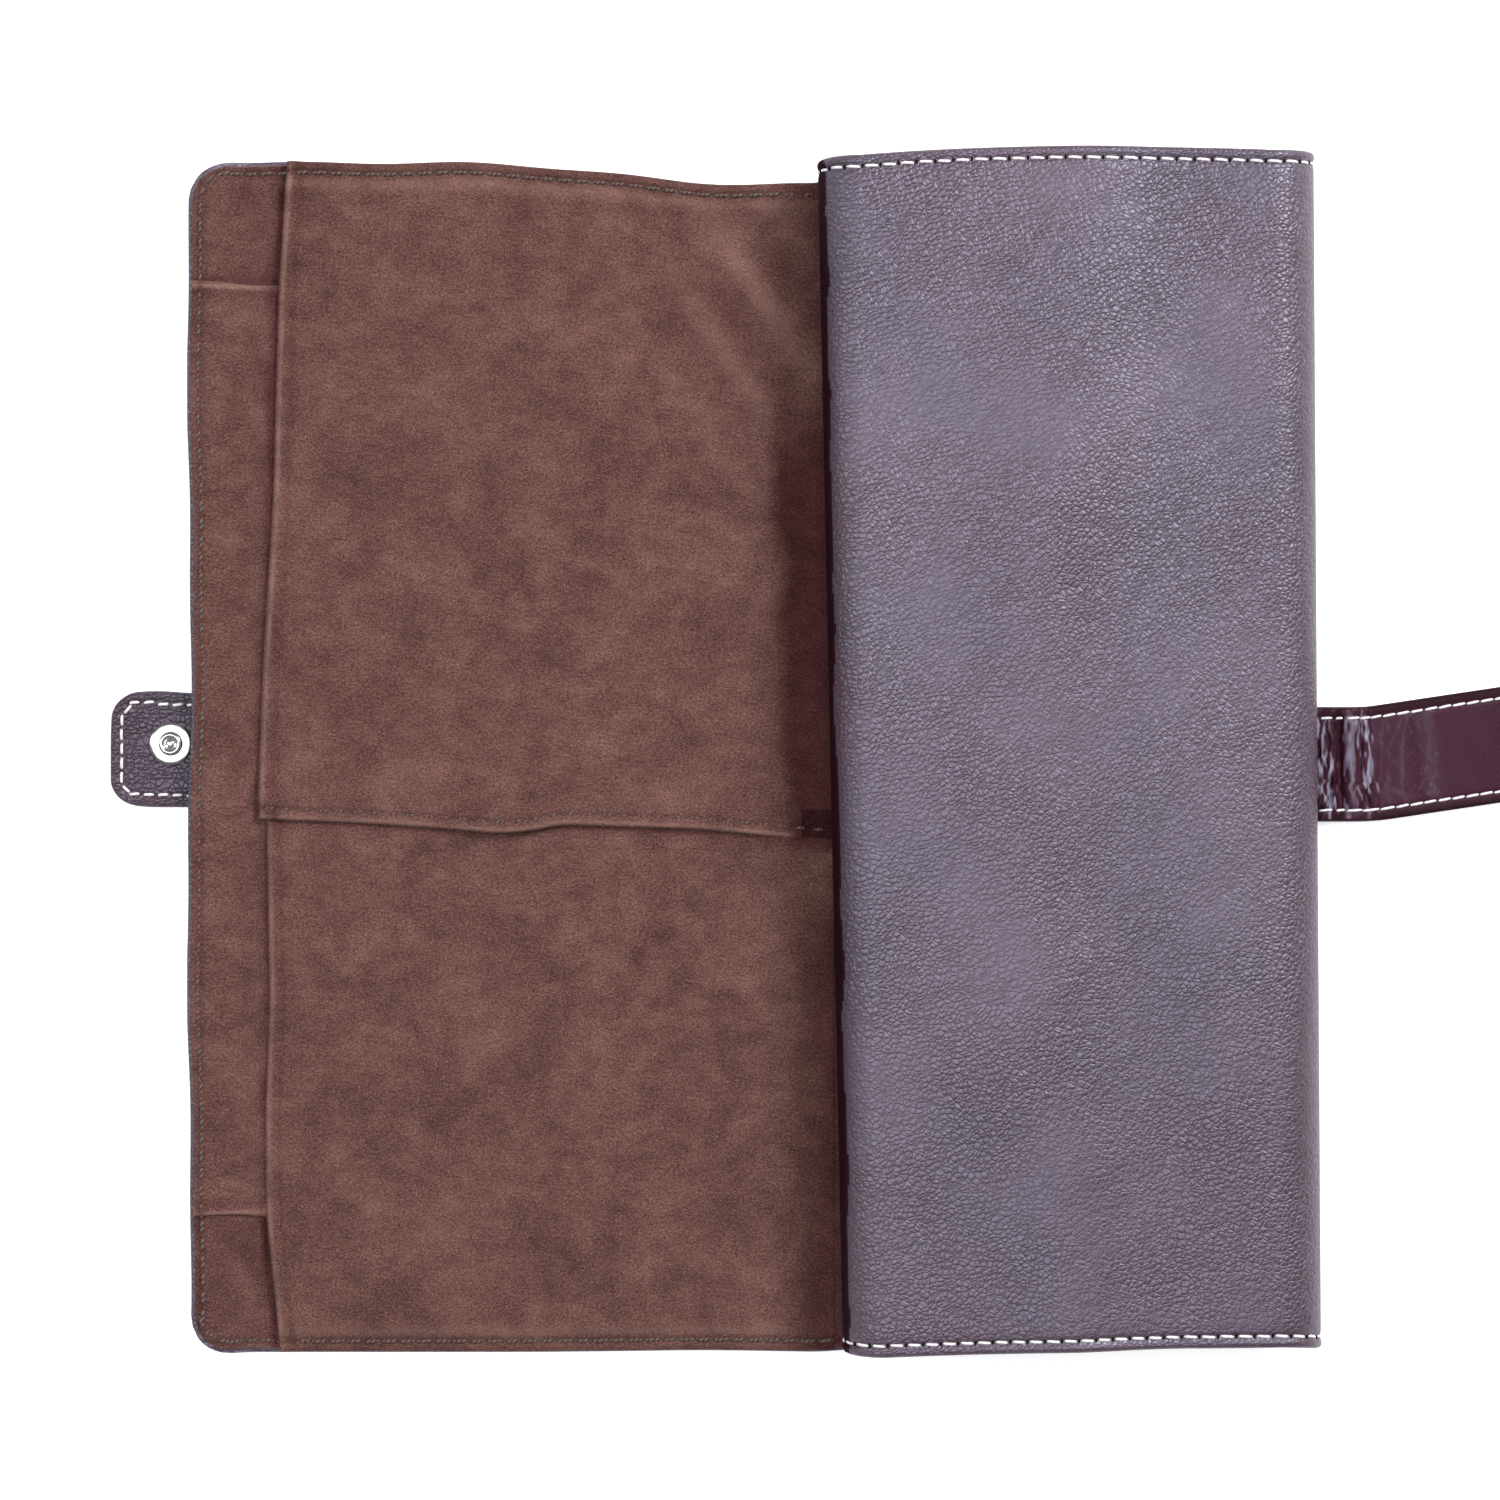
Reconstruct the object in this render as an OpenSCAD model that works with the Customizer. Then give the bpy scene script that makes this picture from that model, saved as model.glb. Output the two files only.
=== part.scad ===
// Soft leather watch roll, lying half rolled: an open left panel with its
// lining up, and a flat spiral roll on the right with the leather outside.
// X runs across the roll, Y along its fold lines, Z up from the table.

/* [Sheet] */
// Height of the sheet along the fold lines, at the roll
sheet_h = 283.5; // [270:0.5:295]
// Width of the open left panel, left edge to the roll's left side
panel_w = 153.7; // [146:0.1:158]
// Width of the flat roll, left side to right side
roll_w = 115; // [108:0.5:124]
// Outer thickness of the roll, from its lowest to its top leather face
roll_t = 23; // [22.5:0.1:23.4]
// Thickness of the outer leather
leather_t = 1.3; // [1.1:0.05:1.3]
// Thickness of the padding between leather and lining
core_t = 1.2; // [1:0.05:1.2]
// Thickness of the suede lining
lining_t = 0.8; // [0.6:0.05:0.8]
// Depth of the short tail inside the roll
tail_w = 42; // [25:1:45]
// Corner radius of the open panel
corner_r = 9.5; // [6:0.5:11]

/* [Flaps] */
// Thickness of one flap
flap_t = 0.75; // [0.5:0.05:0.8]
// Width of the end flap, from its seam to its free edge
end_flap_w = 20.7; // [14:0.1:21]
// Width of a band that holds the watch straps
band_w = 14; // [8:1:20]

/* [Strap and tab] */
// Width of the closing strap
strap_w = 27.6; // [24:0.1:30]
// Thickness of one leather layer of the strap and the tab
strap_layer = 1; // [0.8:0.05:1]
// In-plane turn of the strap's free end
strap_turn = 8.5; // [4:0.5:10]
// Distance from the turn to the middle of the rounded strap end
strap_end = 48; // [44:1:54]
// Radius of the snap ring
snap_r = 5.1; // [4.5:0.1:5.5]

/* [Stitching] */
// Pitch of the contrast stitches
stitch_pitch = 4.17; // [3.5:0.01:5]
// Length of one contrast stitch
stitch_l = 3.6; // [2.5:0.1:3.8]

/* [Hidden] */
$fn = 48;

leather_c = [0.42, 0.37, 0.46];
suede_c = [0.44, 0.31, 0.28];
felt_c = [0.25, 0.22, 0.2];
white_c = [0.9, 0.87, 0.8];
dark_c = [0.2, 0.12, 0.1];
strap_c = [0.25, 0.13, 0.19];
metal_c = [0.8, 0.8, 0.82];

// The measuring frame has its zero under the middle of the picture. The part
// is then shifted so that its own zero is under the middle of its box.
half = leather_t / 2;
T = leather_t + core_t + lining_t;
in_h = T - half;
mitre = tan(22.5);
// Mitre between the panel and the first strip, which slopes up at rest
mitre_0 = tan(27);
gap = 0.1;
lift = 4;
edge_lift = 3.2;
left_x = -134.8;
roll_x0 = left_x + panel_w;
roll_x1 = roll_x0 + roll_w;
y_top = sheet_h / 2 - 0.25;
y_bot = -sheet_h / 2 - 0.25;
p_top = y_top - 0.5;
p_bot = y_bot - 2.5;

// Hinge points, each on the middle of the leather
function dir(a) = [cos(a), sin(a)];
rise3 = 1 + sqrt(2);
right_s = (roll_t - leather_t) / rise3;
right_x = roll_x1 - half - right_s / sqrt(2);
z_base = lift + half;
z_top = lift + roll_t - half;
r0 = [right_x, z_base];
r1 = r0 + right_s * dir(45);
r2 = r1 + right_s * dir(90);
r3 = r2 + right_s * dir(135);
z_tail = lift + T + 0.5 + half;
left_s = (z_top - z_tail) / rise3;
l0 = [roll_x0 + half + left_s / sqrt(2), z_top];
l1 = l0 + left_s * dir(225);
l2 = l1 + left_s * dir(270);
l3 = l2 + left_s * dir(315);
close_s = 11.6;
h3 = [roll_x0 + 2.5, z_base];
slope = (z_base - half) / (3 * close_s);
h0 = [h3[0] - 3 * close_s, half];
h1 = h0 + [close_s, close_s * slope];
h2 = h1 + [close_s, close_s * slope];

// Strap and tab
strap_t = 2 * strap_layer + 0.2;
strap_y = -3.44;
bend_x = roll_x1 + 2.6;
turn_x = 149;
flat_x = 160;
stud = [-139.2, 1.5];
tab_x0 = -153.9;
tab_x1 = -128.2;
tab_y0 = -13.7;
tab_y1 = 14.2;
end_c = [turn_x + strap_end * cos(strap_turn), strap_y + strap_end * sin(strap_turn)];

x_lo = tab_x0;
x_hi = end_c[0] + strap_w / 2;
y_lo = p_bot;
y_hi = y_top;
shift = [-(x_lo + x_hi) / 2, -(y_lo + y_hi) / 2, 0];

// ---------- helpers ----------
// Points of an arc
function arc(c, r, a0, a1, n) = [for (i = [0:n]) c + r * dir(a0 + (a1 - a0) * i / n)];
// Extrude an XZ outline along Y
module along_y(pts, y0, y1) {
  translate([0, y1, 0]) rotate([90, 0, 0]) linear_extrude(y1 - y0) polygon(pts);
}
// Inset of a mitred end at height h above the hinge line
function miss(h, g, m = mitre) = g + max(h, 0) * m;
// Outline of one layer of a flat stretch, from height a to height b
function layer(len, a, b, ga, gb, m = mitre) = a < 0 && b > 0 ?
  [[miss(a, ga), a], [len - miss(a, gb), a], [len - gb, 0], [len - miss(b, gb), b], [miss(b, ga, m), b], [ga, 0]] :
  [[miss(a, ga), a], [len - miss(a, gb), a], [len - miss(b, gb), b], [miss(b, ga), b]];
// Put a local stretch at its hinge point, turned by the sheet's angle
module at(p, ang) { translate([p[0], 0, p[1]]) rotate([0, -ang, 0]) children(); }
// Leather of a stretch: turned edges, and a shallow bed for the padding
module leather_of(p, ang, len, ya, yb) {
  at(p, ang) difference() {
    along_y(layer(len, -half, half + core_t, gap, gap), ya, yb);
    along_y([[-5, half], [len + 5, half], [len + 5, half + core_t + 1], [-5, half + core_t + 1]], ya + 6, yb - 6);
  }
}
module padding_of(p, ang, len, ya, yb) {
  at(p, ang) along_y(layer(len, half, half + core_t, gap + 0.6, gap + 0.6), ya + 6.1, yb - 6.1);
}
module lining_of(p, ang, len, ya, yb) {
  at(p, ang) along_y(layer(len, half + core_t, in_h, gap, gap), ya + 0.8, yb - 0.8);
}
// One strip of a fold, all its layers together
module fold_of(p, q, top, ya, yb, m = mitre) {
  len = norm(q - p);
  ang = atan2(q[1] - p[1], q[0] - p[0]);
  at(p, ang) along_y(layer(len, -half, top, gap, gap, m), ya, yb);
}
// A line of stitches, each a small bar lying on height z
module stitches(a, b, z, pitch, l, w) {
  n = floor(norm(b - a) / pitch);
  ang = atan2(b[1] - a[1], b[0] - a[0]);
  if (n > 0) for (i = [0:n - 1])
    translate([a[0], a[1], z]) rotate([0, 0, ang])
      translate([(i + 0.5) * norm(b - a) / n - l / 2, -w / 2, 0]) cube([l, w, 0.3]);
}

// ---------- open panel ----------
// Underside of the panel: raised at the left, where it lies on the tab
function under(x) = x <= -129 ? edge_lift : x >= -119 ? 0 : edge_lift * (-119 - x) / 10;
run_x = [left_x - 1, -129, -119];
function skin(a, b, xr, da, db) = concat(
  [for (x = run_x) [x, under(x) + a]], [[xr - da, a], [xr - db, b]],
  [for (i = [2:-1:0]) [run_x[i], under(run_x[i]) + b]]);
function panel_plan(i) = concat(
  [[h0[0] + 1, p_bot + i + 1], [left_x + corner_r + 20, p_bot + i]],
  arc([left_x + corner_r, p_bot + corner_r], corner_r - i, 270, 180, 8),
  arc([left_x + corner_r, p_top - corner_r], corner_r - i, 180, 90, 8),
  [[left_x + corner_r + 20, p_top - i - 0.6], [h0[0] + 1, p_top - i - 4]]);
module panel_layer(a, b, inset, g) {
  intersection() {
    along_y(skin(a, b, h0[0], miss(a - half, g, mitre_0), miss(b - half, g, mitre_0)), p_bot - 2, p_top + 2);
    translate([0, 0, -1]) linear_extrude(12) polygon(panel_plan(inset));
  }
}
module leather_panel() { color(leather_c) difference() {
  panel_layer(0, leather_t + core_t, 0, gap);
  intersection() {
    along_y(skin(leather_t, leather_t + core_t + 1, h0[0] + 5, 0, 0), p_bot, p_top);
    translate([0, 0, -1]) linear_extrude(12) polygon([
      [left_x + 6, p_bot + 8], [h0[0] + 6, p_bot + 8], [h0[0] + 6, p_top - 10], [left_x + 6, p_top - 8]]);
  }
} }
module padding_panel() { color(felt_c) intersection() {
  along_y(skin(leather_t, leather_t + core_t, h0[0], miss(half, 0.7, mitre_0), miss(half + core_t, 0.7, mitre_0)), p_bot, p_top);
  translate([0, 0, -1]) linear_extrude(12) polygon([
    [left_x + 6.2, p_bot + 8.2], [h0[0], p_bot + 8.2], [h0[0], p_top - 10.2], [left_x + 6.2, p_top - 8.2]]);
} }
module lining_panel() { color(suede_c) panel_layer(leather_t + core_t, T, 0.8, gap); }
// Dark seam thread round the open panel, only along its flat stretch and edge
module panel_thread() { color(dark_c) {
  stitches([left_x + 3.6, p_bot + 14], [left_x + 3.6, -112.5], T + edge_lift, 4.2, 2.6, 0.5);
  stitches([left_x + 3.6, 113], [left_x + 3.6, p_top - 14], T + edge_lift, 4.2, 2.6, 0.5);
} }
module watch_bands() { color(dark_c)
  for (y = [-66, 66]) for (k = [0:2])
    translate([-104 + k * 29, y - band_w / 2, T]) cube([28, band_w, 0.7]);
}

// ---------- flaps ----------
z_end = T + 0.05;
z_low = z_end + flap_t + 0.05;
z_up = z_low + flap_t + 0.05;
d0 = [-111.4, 134.8];
d1 = [-16, -18.9];
e0 = [-113, -138.7];
e1 = [-26.3, -14.8];
flap_r = h0[0] - miss(z_up + flap_t - half, 0.15);
function off(a, b, g) = let (u = (b - a) / norm(b - a)) g * [u[1], -u[0]];
module flap_plate(pts, z) {
  intersection() {
    along_y(skin(z, z + flap_t, h0[0], 0, 0), p_bot - 2, p_top + 2);
    translate([0, 0, -1]) linear_extrude(14) polygon(pts);
  }
}
dg = off(d0, d1, 0.15);
eg = off(e0, e1, 0.15);
module upper_flap_corner() { color(suede_c) flap_plate([
  d0 + dg, [-112.8, 111.6], [-113.6, 85.5], [-114.2, 60.3], [-116.6, 20.4], [-117.8, -12.9], [-116.9, -16.3],
  [-92.4, -17.7], [-71.8, -19.2], [-60.3, -20.1], [-45.5, -17.7], d1 + dg], z_up); }
module upper_flap_sewn() { color(suede_c) flap_plate([
  d0 - dg, d1 - dg, [flap_r, -18.9], [flap_r, p_top - 5], [-110.4, p_top - 1.6]], z_up); }
module lower_flap_corner() { color(suede_c) flap_plate([
  e0 - eg, e1 - eg, [-115.9, -14.8], [-115.2, -59.4], [-116.1, -86.2], [-115.9, -111.4]], z_low); }
module lower_flap_sewn() { color(suede_c) flap_plate([
  e0 + eg, [-111, p_bot + 1], [flap_r, p_bot + 2], [flap_r, -14.8], e1 + eg], z_low); }
end_x = left_x + 4.3;
module end_flap() { color(suede_c) flap_plate([
  [end_x, -111.6], [end_x + end_flap_w, -111.6], [end_x + end_flap_w, 111.7], [end_x, 111.7]], z_end); }
module hem_thread() { color(dark_c)
  stitches([-114.5, -13.8], [-26, -15.2], z_up + flap_t, 4.2, 2.6, 0.5); }

// ---------- tab and snap ----------
module tab_plan(i) {
  translate([tab_x0 + i, tab_y0 + i]) difference() {
    square([tab_x1 - tab_x0 - i, tab_y1 - tab_y0 - 2 * i]);
    for (s = [0, 1]) translate([0, s * (tab_y1 - tab_y0 - 2 * i)]) mirror([0, s]) difference() {
      translate([-1, -1]) square([7, 7]);
      translate([6, 6]) circle(6);
    }
  }
}
module tab_back() { color(strap_c) difference() {
  linear_extrude(strap_t / 2) tab_plan(0);
  translate([stud[0], stud[1], -1]) cylinder(r = 3.2, h = 1.5);
  translate([stud[0], stud[1], -1]) cylinder(r = 1.25, h = 5);
} }
module tab_front() { color(leather_c) difference() {
  translate([0, 0, strap_t / 2]) linear_extrude(strap_t / 2) tab_plan(0.3);
  translate([stud[0], stud[1], -1]) cylinder(r = 1.25, h = 5);
} }
module tab_thread() { color(white_c) {
  stitches([tab_x0 + 3, tab_y0 + 7], [tab_x0 + 3, tab_y1 - 7], strap_t, 3.6, 2.8, 0.6);
  stitches([tab_x0 + 7, tab_y1 - 3], [left_x - 0.5, tab_y1 - 3], strap_t, 3.6, 2.8, 0.6);
  stitches([tab_x0 + 7, tab_y0 + 3], [left_x - 0.5, tab_y0 + 3], strap_t, 3.6, 2.8, 0.6);
} }
module snap_stud() { color(metal_c) translate([stud[0], stud[1], strap_t]) {
  difference() {
    union() {
      cylinder(r = snap_r, h = 0.55);
      cylinder(r = 2.4, h = 1.7);
      translate([0, 0, 0.95]) cylinder(r = 2.7, h = 0.6);
    }
    translate([0, 0, -1]) cylinder(r = 1.25, h = 4);
  }
} }
// Rivet cap under the tab, with the post that clamps the stud
module stud_cap() { color(metal_c) translate([stud[0], stud[1], 0]) {
  cylinder(r = 3.1, h = 0.45);
  cylinder(r = 1.2, h = strap_t + 1);
} }

// ---------- fold between panel and roll ----------
strip_top = in_h + 1.1;
module close_fold_1() { color(leather_c) fold_of(h0, h1, strip_top, p_bot + 1.5, p_top - 4.5, mitre_0); }
module close_fold_2() { color(leather_c) fold_of(h1, h2, strip_top, p_bot + 1.8, p_top - 3); }
module close_fold_3() { color(leather_c) fold_of(h2, h3, strip_top, p_bot + 2, p_top - 1.5); }

// ---------- roll ----------
base_l = r0[0] - h3[0];
top_l = r3[0] - l0[0];
module leather_base() { color(leather_c) leather_of(h3, 0, base_l, y_bot, y_top); }
module padding_base() { color(felt_c) padding_of(h3, 0, base_l, y_bot, y_top); }
module lining_base() { color(suede_c) lining_of(h3, 0, base_l, y_bot, y_top); }
module right_fold_1() { color(leather_c) fold_of(r0, r1, in_h, y_bot, y_top); }
module right_fold_2() { color(leather_c) fold_of(r1, r2, in_h, y_bot, y_top); }
module right_fold_3() { color(leather_c) fold_of(r2, r3, in_h, y_bot, y_top); }
module leather_top() { color(leather_c) leather_of(r3, 180, top_l, y_bot, y_top); }
module padding_top() { color(felt_c) padding_of(r3, 180, top_l, y_bot, y_top); }
module lining_top() { color(suede_c) lining_of(r3, 180, top_l, y_bot, y_top); }
module top_thread() { color(white_c) for (s = [y_bot + 3, y_top - 3])
  stitches([l0[0] + 0.5, s], [r3[0] - 0.5, s], z_top + half, stitch_pitch, stitch_l, 0.6); }
module left_fold_1() { color(leather_c) fold_of(l0, l1, in_h, y_bot, y_top); }
module left_fold_2() { color(leather_c) fold_of(l1, l2, in_h, y_bot, y_top); }
module left_fold_3() { color(leather_c) fold_of(l2, l3, in_h, y_bot, y_top); }
module leather_tail() { color(leather_c) leather_of(l3, 0, tail_w, y_bot, y_top); }
module padding_tail() { color(felt_c) padding_of(l3, 0, tail_w - 5, y_bot, y_top); }
module lining_tail() { color(suede_c) lining_of(l3, 0, tail_w - 0.8, y_bot, y_top); }

// ---------- strap ----------
// Sewn patch that joins the strap to the underside of the roll
module strap_patch() { color(strap_c)
  translate([96, strap_y - strap_w / 2, strap_t]) cube([26, strap_w, lift - strap_t]); }
module strap_run(x0, x1, z0, z1) {
  translate([x0, strap_y - strap_w / 2, z0]) cube([x1 - x0, strap_w, z1 - z0]);
}
m = strap_t / 2;
module strap_back_root() { color(strap_c) strap_run(96, bend_x - 0.1, 0, m); }
module strap_front_root() { color(strap_c) strap_run(96, bend_x - 1.3, m, strap_t); }
module strap_back_bend() { color(strap_c) strap_run(bend_x + 0.1, turn_x - 2.2, 0, m); }
module strap_front_bend() { color(strap_c) strap_run(bend_x + 1.3, turn_x - 2.2, m, strap_t); }
module turned() { translate([turn_x, strap_y, 0]) rotate([0, 0, strap_turn]) children(); }
turn_l = (flat_x - turn_x) / cos(strap_turn);
module strap_back_turn() { color(strap_c) turned() translate([2.2, -strap_w / 2, 0]) cube([turn_l - 2.5, strap_w, m]); }
module strap_front_turn() { color(strap_c) turned() translate([2.2, -strap_w / 2, m]) cube([turn_l - 2.5, strap_w, m]); }
module end_plan() {
  translate([turn_l + 0.3, -strap_w / 2]) square([strap_end - turn_l - 0.3, strap_w]);
  translate([strap_end, 0]) circle(strap_w / 2);
}
sock = 37.4;
module strap_back_end() { color(strap_c) turned() difference() {
  linear_extrude(m) end_plan();
  translate([sock, 0, -1]) cylinder(r = 3.2, h = 1.5);
  translate([sock, 0, -1]) cylinder(r = 1.25, h = 5);
} }
module strap_front_end() { color(strap_c) turned() difference() {
  translate([0, 0, m]) linear_extrude(m) end_plan();
  translate([sock, 0, -1]) cylinder(r = 1.25, h = 5);
} }
module strap_thread_bend() { color(white_c) for (s = [-1, 1])
  stitches([bend_x + 1.5, strap_y + s * (strap_w / 2 - 2.7)], [turn_x - 2.5, strap_y + s * (strap_w / 2 - 2.7)], strap_t, 3.4, 2.6, 0.6); }
module strap_thread_turn() { color(white_c) turned() for (s = [-1, 1])
  stitches([2.5, s * (strap_w / 2 - 2.7)], [turn_l - 0.6, s * (strap_w / 2 - 2.7)], strap_t, 3.4, 2.6, 0.6); }
module strap_thread_end() { color(white_c) turned() for (s = [-1, 1])
  stitches([turn_l + 0.6, s * (strap_w / 2 - 2.7)], [strap_end - 1, s * (strap_w / 2 - 2.7)], strap_t, 3.4, 2.6, 0.6); }
// Socket half of the snap: a low cup, open at the top to take the stud
module snap_socket() { color(metal_c) turned() translate([sock, 0, strap_t]) difference() {
  union() {
    cylinder(r = snap_r, h = 0.5);
    cylinder(r = 3.7, h = 1.5);
  }
  translate([0, 0, 0.4]) cylinder(r = 2.9, h = 2);
  translate([0, 0, -1]) cylinder(r = 1.25, h = 2);
} }
module socket_cap() { color(metal_c) turned() translate([sock, 0, 0]) {
  cylinder(r = 3.1, h = 0.45);
  cylinder(r = 1.2, h = strap_t + 0.35);
} }

translate(shift) leather_panel();
translate(shift) padding_panel();
translate(shift) lining_panel();
translate(shift) panel_thread();
translate(shift) watch_bands();
translate(shift) upper_flap_sewn();
translate(shift) lower_flap_sewn();
translate(shift) upper_flap_corner();
translate(shift) lower_flap_corner();
translate(shift) end_flap();
translate(shift) hem_thread();
translate(shift) tab_back();
translate(shift) tab_front();
translate(shift) tab_thread();
translate(shift) snap_stud();
translate(shift) stud_cap();
translate(shift) close_fold_1();
translate(shift) close_fold_2();
translate(shift) close_fold_3();
translate(shift) leather_base();
translate(shift) padding_base();
translate(shift) lining_base();
translate(shift) right_fold_1();
translate(shift) right_fold_2();
translate(shift) right_fold_3();
translate(shift) leather_top();
translate(shift) padding_top();
translate(shift) lining_top();
translate(shift) top_thread();
translate(shift) left_fold_1();
translate(shift) left_fold_2();
translate(shift) left_fold_3();
translate(shift) leather_tail();
translate(shift) padding_tail();
translate(shift) lining_tail();
translate(shift) strap_patch();
translate(shift) strap_back_root();
translate(shift) strap_front_root();
translate(shift) strap_back_bend();
translate(shift) strap_front_bend();
translate(shift) strap_back_turn();
translate(shift) strap_front_turn();
translate(shift) strap_back_end();
translate(shift) strap_front_end();
translate(shift) strap_thread_bend();
translate(shift) strap_thread_turn();
translate(shift) strap_thread_end();
translate(shift) snap_socket();
translate(shift) socket_cap();
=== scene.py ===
import math
import bpy
import numpy as np
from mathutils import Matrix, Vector


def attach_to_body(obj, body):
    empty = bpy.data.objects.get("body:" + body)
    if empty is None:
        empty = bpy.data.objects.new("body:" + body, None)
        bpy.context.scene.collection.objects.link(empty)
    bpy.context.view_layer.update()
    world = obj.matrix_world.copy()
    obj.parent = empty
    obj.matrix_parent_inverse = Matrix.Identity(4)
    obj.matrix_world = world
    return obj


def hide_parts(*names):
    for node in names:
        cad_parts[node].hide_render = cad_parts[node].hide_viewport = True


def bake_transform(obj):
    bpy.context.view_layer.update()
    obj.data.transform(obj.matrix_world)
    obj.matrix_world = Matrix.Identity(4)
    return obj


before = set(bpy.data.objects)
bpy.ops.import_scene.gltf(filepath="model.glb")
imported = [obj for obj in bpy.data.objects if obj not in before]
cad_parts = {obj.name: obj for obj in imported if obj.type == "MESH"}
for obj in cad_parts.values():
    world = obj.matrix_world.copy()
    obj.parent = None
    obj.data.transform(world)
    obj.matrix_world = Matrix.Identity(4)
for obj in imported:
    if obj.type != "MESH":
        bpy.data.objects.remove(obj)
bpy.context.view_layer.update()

# ---------------------------------------------------------------- frame
# All lengths below are in millimetres in the measuring frame, whose zero is
# under the middle of the picture. W() turns them into the row frame.
SX, SY = -28.18638, 1.5


def W(p):
    q = np.array(p, float)
    q[..., 0] += SX
    q[..., 1] += SY
    return q * 0.001


def V(x, y, z):
    return Vector(W([x, y, z]))


# ---------------------------------------------------------------- noise
def _hash(ix, iy, seed):
    h = np.sin(ix * 127.1 + iy * 311.7 + seed * 74.7) * 43758.5453
    return h - np.floor(h)


def vnoise(x, y, seed=0):
    ix, iy = np.floor(x), np.floor(y)
    fx, fy = x - ix, y - iy
    u, v = fx * fx * (3 - 2 * fx), fy * fy * (3 - 2 * fy)
    a, b = _hash(ix, iy, seed), _hash(ix + 1, iy, seed)
    c, d = _hash(ix, iy + 1, seed), _hash(ix + 1, iy + 1, seed)
    return (a * (1 - u) + b * u) * (1 - v) + (c * (1 - u) + d * u) * v - 0.5


def fbm(x, y, seed=0, octaves=3):
    total, amp = 0.0, 1.0
    for k in range(octaves):
        total = total + amp * vnoise(x * 2 ** k, y * 2 ** k, seed + 7 * k)
        amp *= 0.5
    return total


def sstep(t):
    t = np.clip(t, 0, 1)
    return t * t * (3 - 2 * t)


def bell(x, c, w):
    return np.exp(-((x - c) / w) ** 2)


# ---------------------------------------------------------------- the sheet's path
HALF = 0.65
H0, H1, H2, H3 = (-13.4, 0.65), (-1.8, 1.98333), (9.8, 3.31667), (21.4, 4.65)
R_R, CX_R, CZ_R = 10.85, 122.4, 15.5
R_L, CX_L, CZ_L = 8.95, 28.5, 17.4
LEFT = -134.8
TAIL_END = 66.8


def z_sheet(x):
    return (0.65 + 3.2 * (1 - sstep((x + 131) / 13)) + 4.0 * sstep((x - H0[0] + 5) / (H3[0] - H0[0] + 9)))


_xs = np.arange(LEFT, CX_R + 1e-6, 0.2)
_pts = [np.stack([_xs, z_sheet(_xs)], 1)]
_t = np.radians(np.arange(-90, 91, 1.0))[1:]
_pts.append(np.stack([CX_R + R_R * np.cos(_t), CZ_R + R_R * np.sin(_t)], 1))
_xt = np.linspace(CX_R, CX_L, 400)[1:]
_pts.append(np.stack([_xt, np.full_like(_xt, CZ_R + R_R)], 1))
_t = np.radians(np.arange(90, 271, 1.0))[1:]
_pts.append(np.stack([CX_L + R_L * np.cos(_t), CZ_L + R_L * np.sin(_t)], 1))
_xe = np.linspace(CX_L, TAIL_END + 4, 120)[1:]
_pts.append(np.stack([_xe, np.full_like(_xe, CZ_L - R_L)], 1))
_pts = np.concatenate(_pts)
_seg = np.hypot(*np.diff(_pts, axis=0).T)
_s = np.concatenate([[0], np.cumsum(_seg)])
_ang = np.unwrap(np.arctan2(np.gradient(_pts[:, 1], _s), np.gradient(_pts[:, 0], _s)))
_n_base = len(_xs)


def s_of_x(x):
    return np.interp(x, _xs, _s[:_n_base])


S_R = [float(_s[_n_base - 1] + k * R_R * math.pi / 4) for k in range(5)]
S_L0 = S_R[4] + (CX_R - CX_L)
S_L = [float(S_L0 + k * R_L * math.pi / 4) for k in range(5)]
S_END = S_L[4] + (TAIL_END - CX_L)
S_MIN = 0.0


def path(s):
    return np.interp(s, _s, _pts[:, 0]), np.interp(s, _s, _pts[:, 1]), np.interp(s, _s, _ang)


def top_mask(s):
    return sstep((s - S_R[2]) / (S_R[4] - S_R[2])) * (1 - sstep((s - S_L[0]) / (S_L[2] - S_L[0])))


def waves(s, y):
    """Broad soft waves of the leather on the roll's top, in mm towards the inside."""
    x = s - S_R[4]
    # a long low ridge that wanders down the roll, with a hollow on its right
    c = np.interp(y, [-145, -100, -50, 0, 40, 80, 145], [46, 50, 56, 62, 58, 46, 42])
    w = -1.15 * bell(x, c, 13) + 0.75 * bell(x, c - 26, 14)
    w = w - 0.8 * bell(x, 14, 11) * sstep((30 - y) / 90) + 0.5 * bell(x, 84, 12) * bell(y, -70, 70)
    w = w + 0.35 * np.sin(x * 0.095 - y * 0.028 + 1.9)
    w = w + 0.9 * fbm(x / 34 + 3.1, y / 44 + 1.7, 5, 3)
    return w * top_mask(s)


def surf(s, y, h):
    """Point of the sheet at path length s, height y, and h mm towards the lining side from the leather's middle."""
    s, y, h = np.broadcast_arrays(np.asarray(s, float), y, h)
    x, z, a = path(s)
    hh = h + waves(s, y)
    x = x - np.sin(a) * hh
    z = z + np.cos(a) * hh
    wl = sstep((s - S_R[4]) / (S_L0 - S_R[4]))
    x = x - 0.0215 * y * wl * (1 - sstep((s - S_L[3]) / 6))
    wr = sstep((s - S_R[0] + 12) / 16) * (1 - sstep((s - S_R[4]) / 30))
    x = x - 0.0062 * y * wr
    return np.stack([x, y, z], -1)


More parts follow.
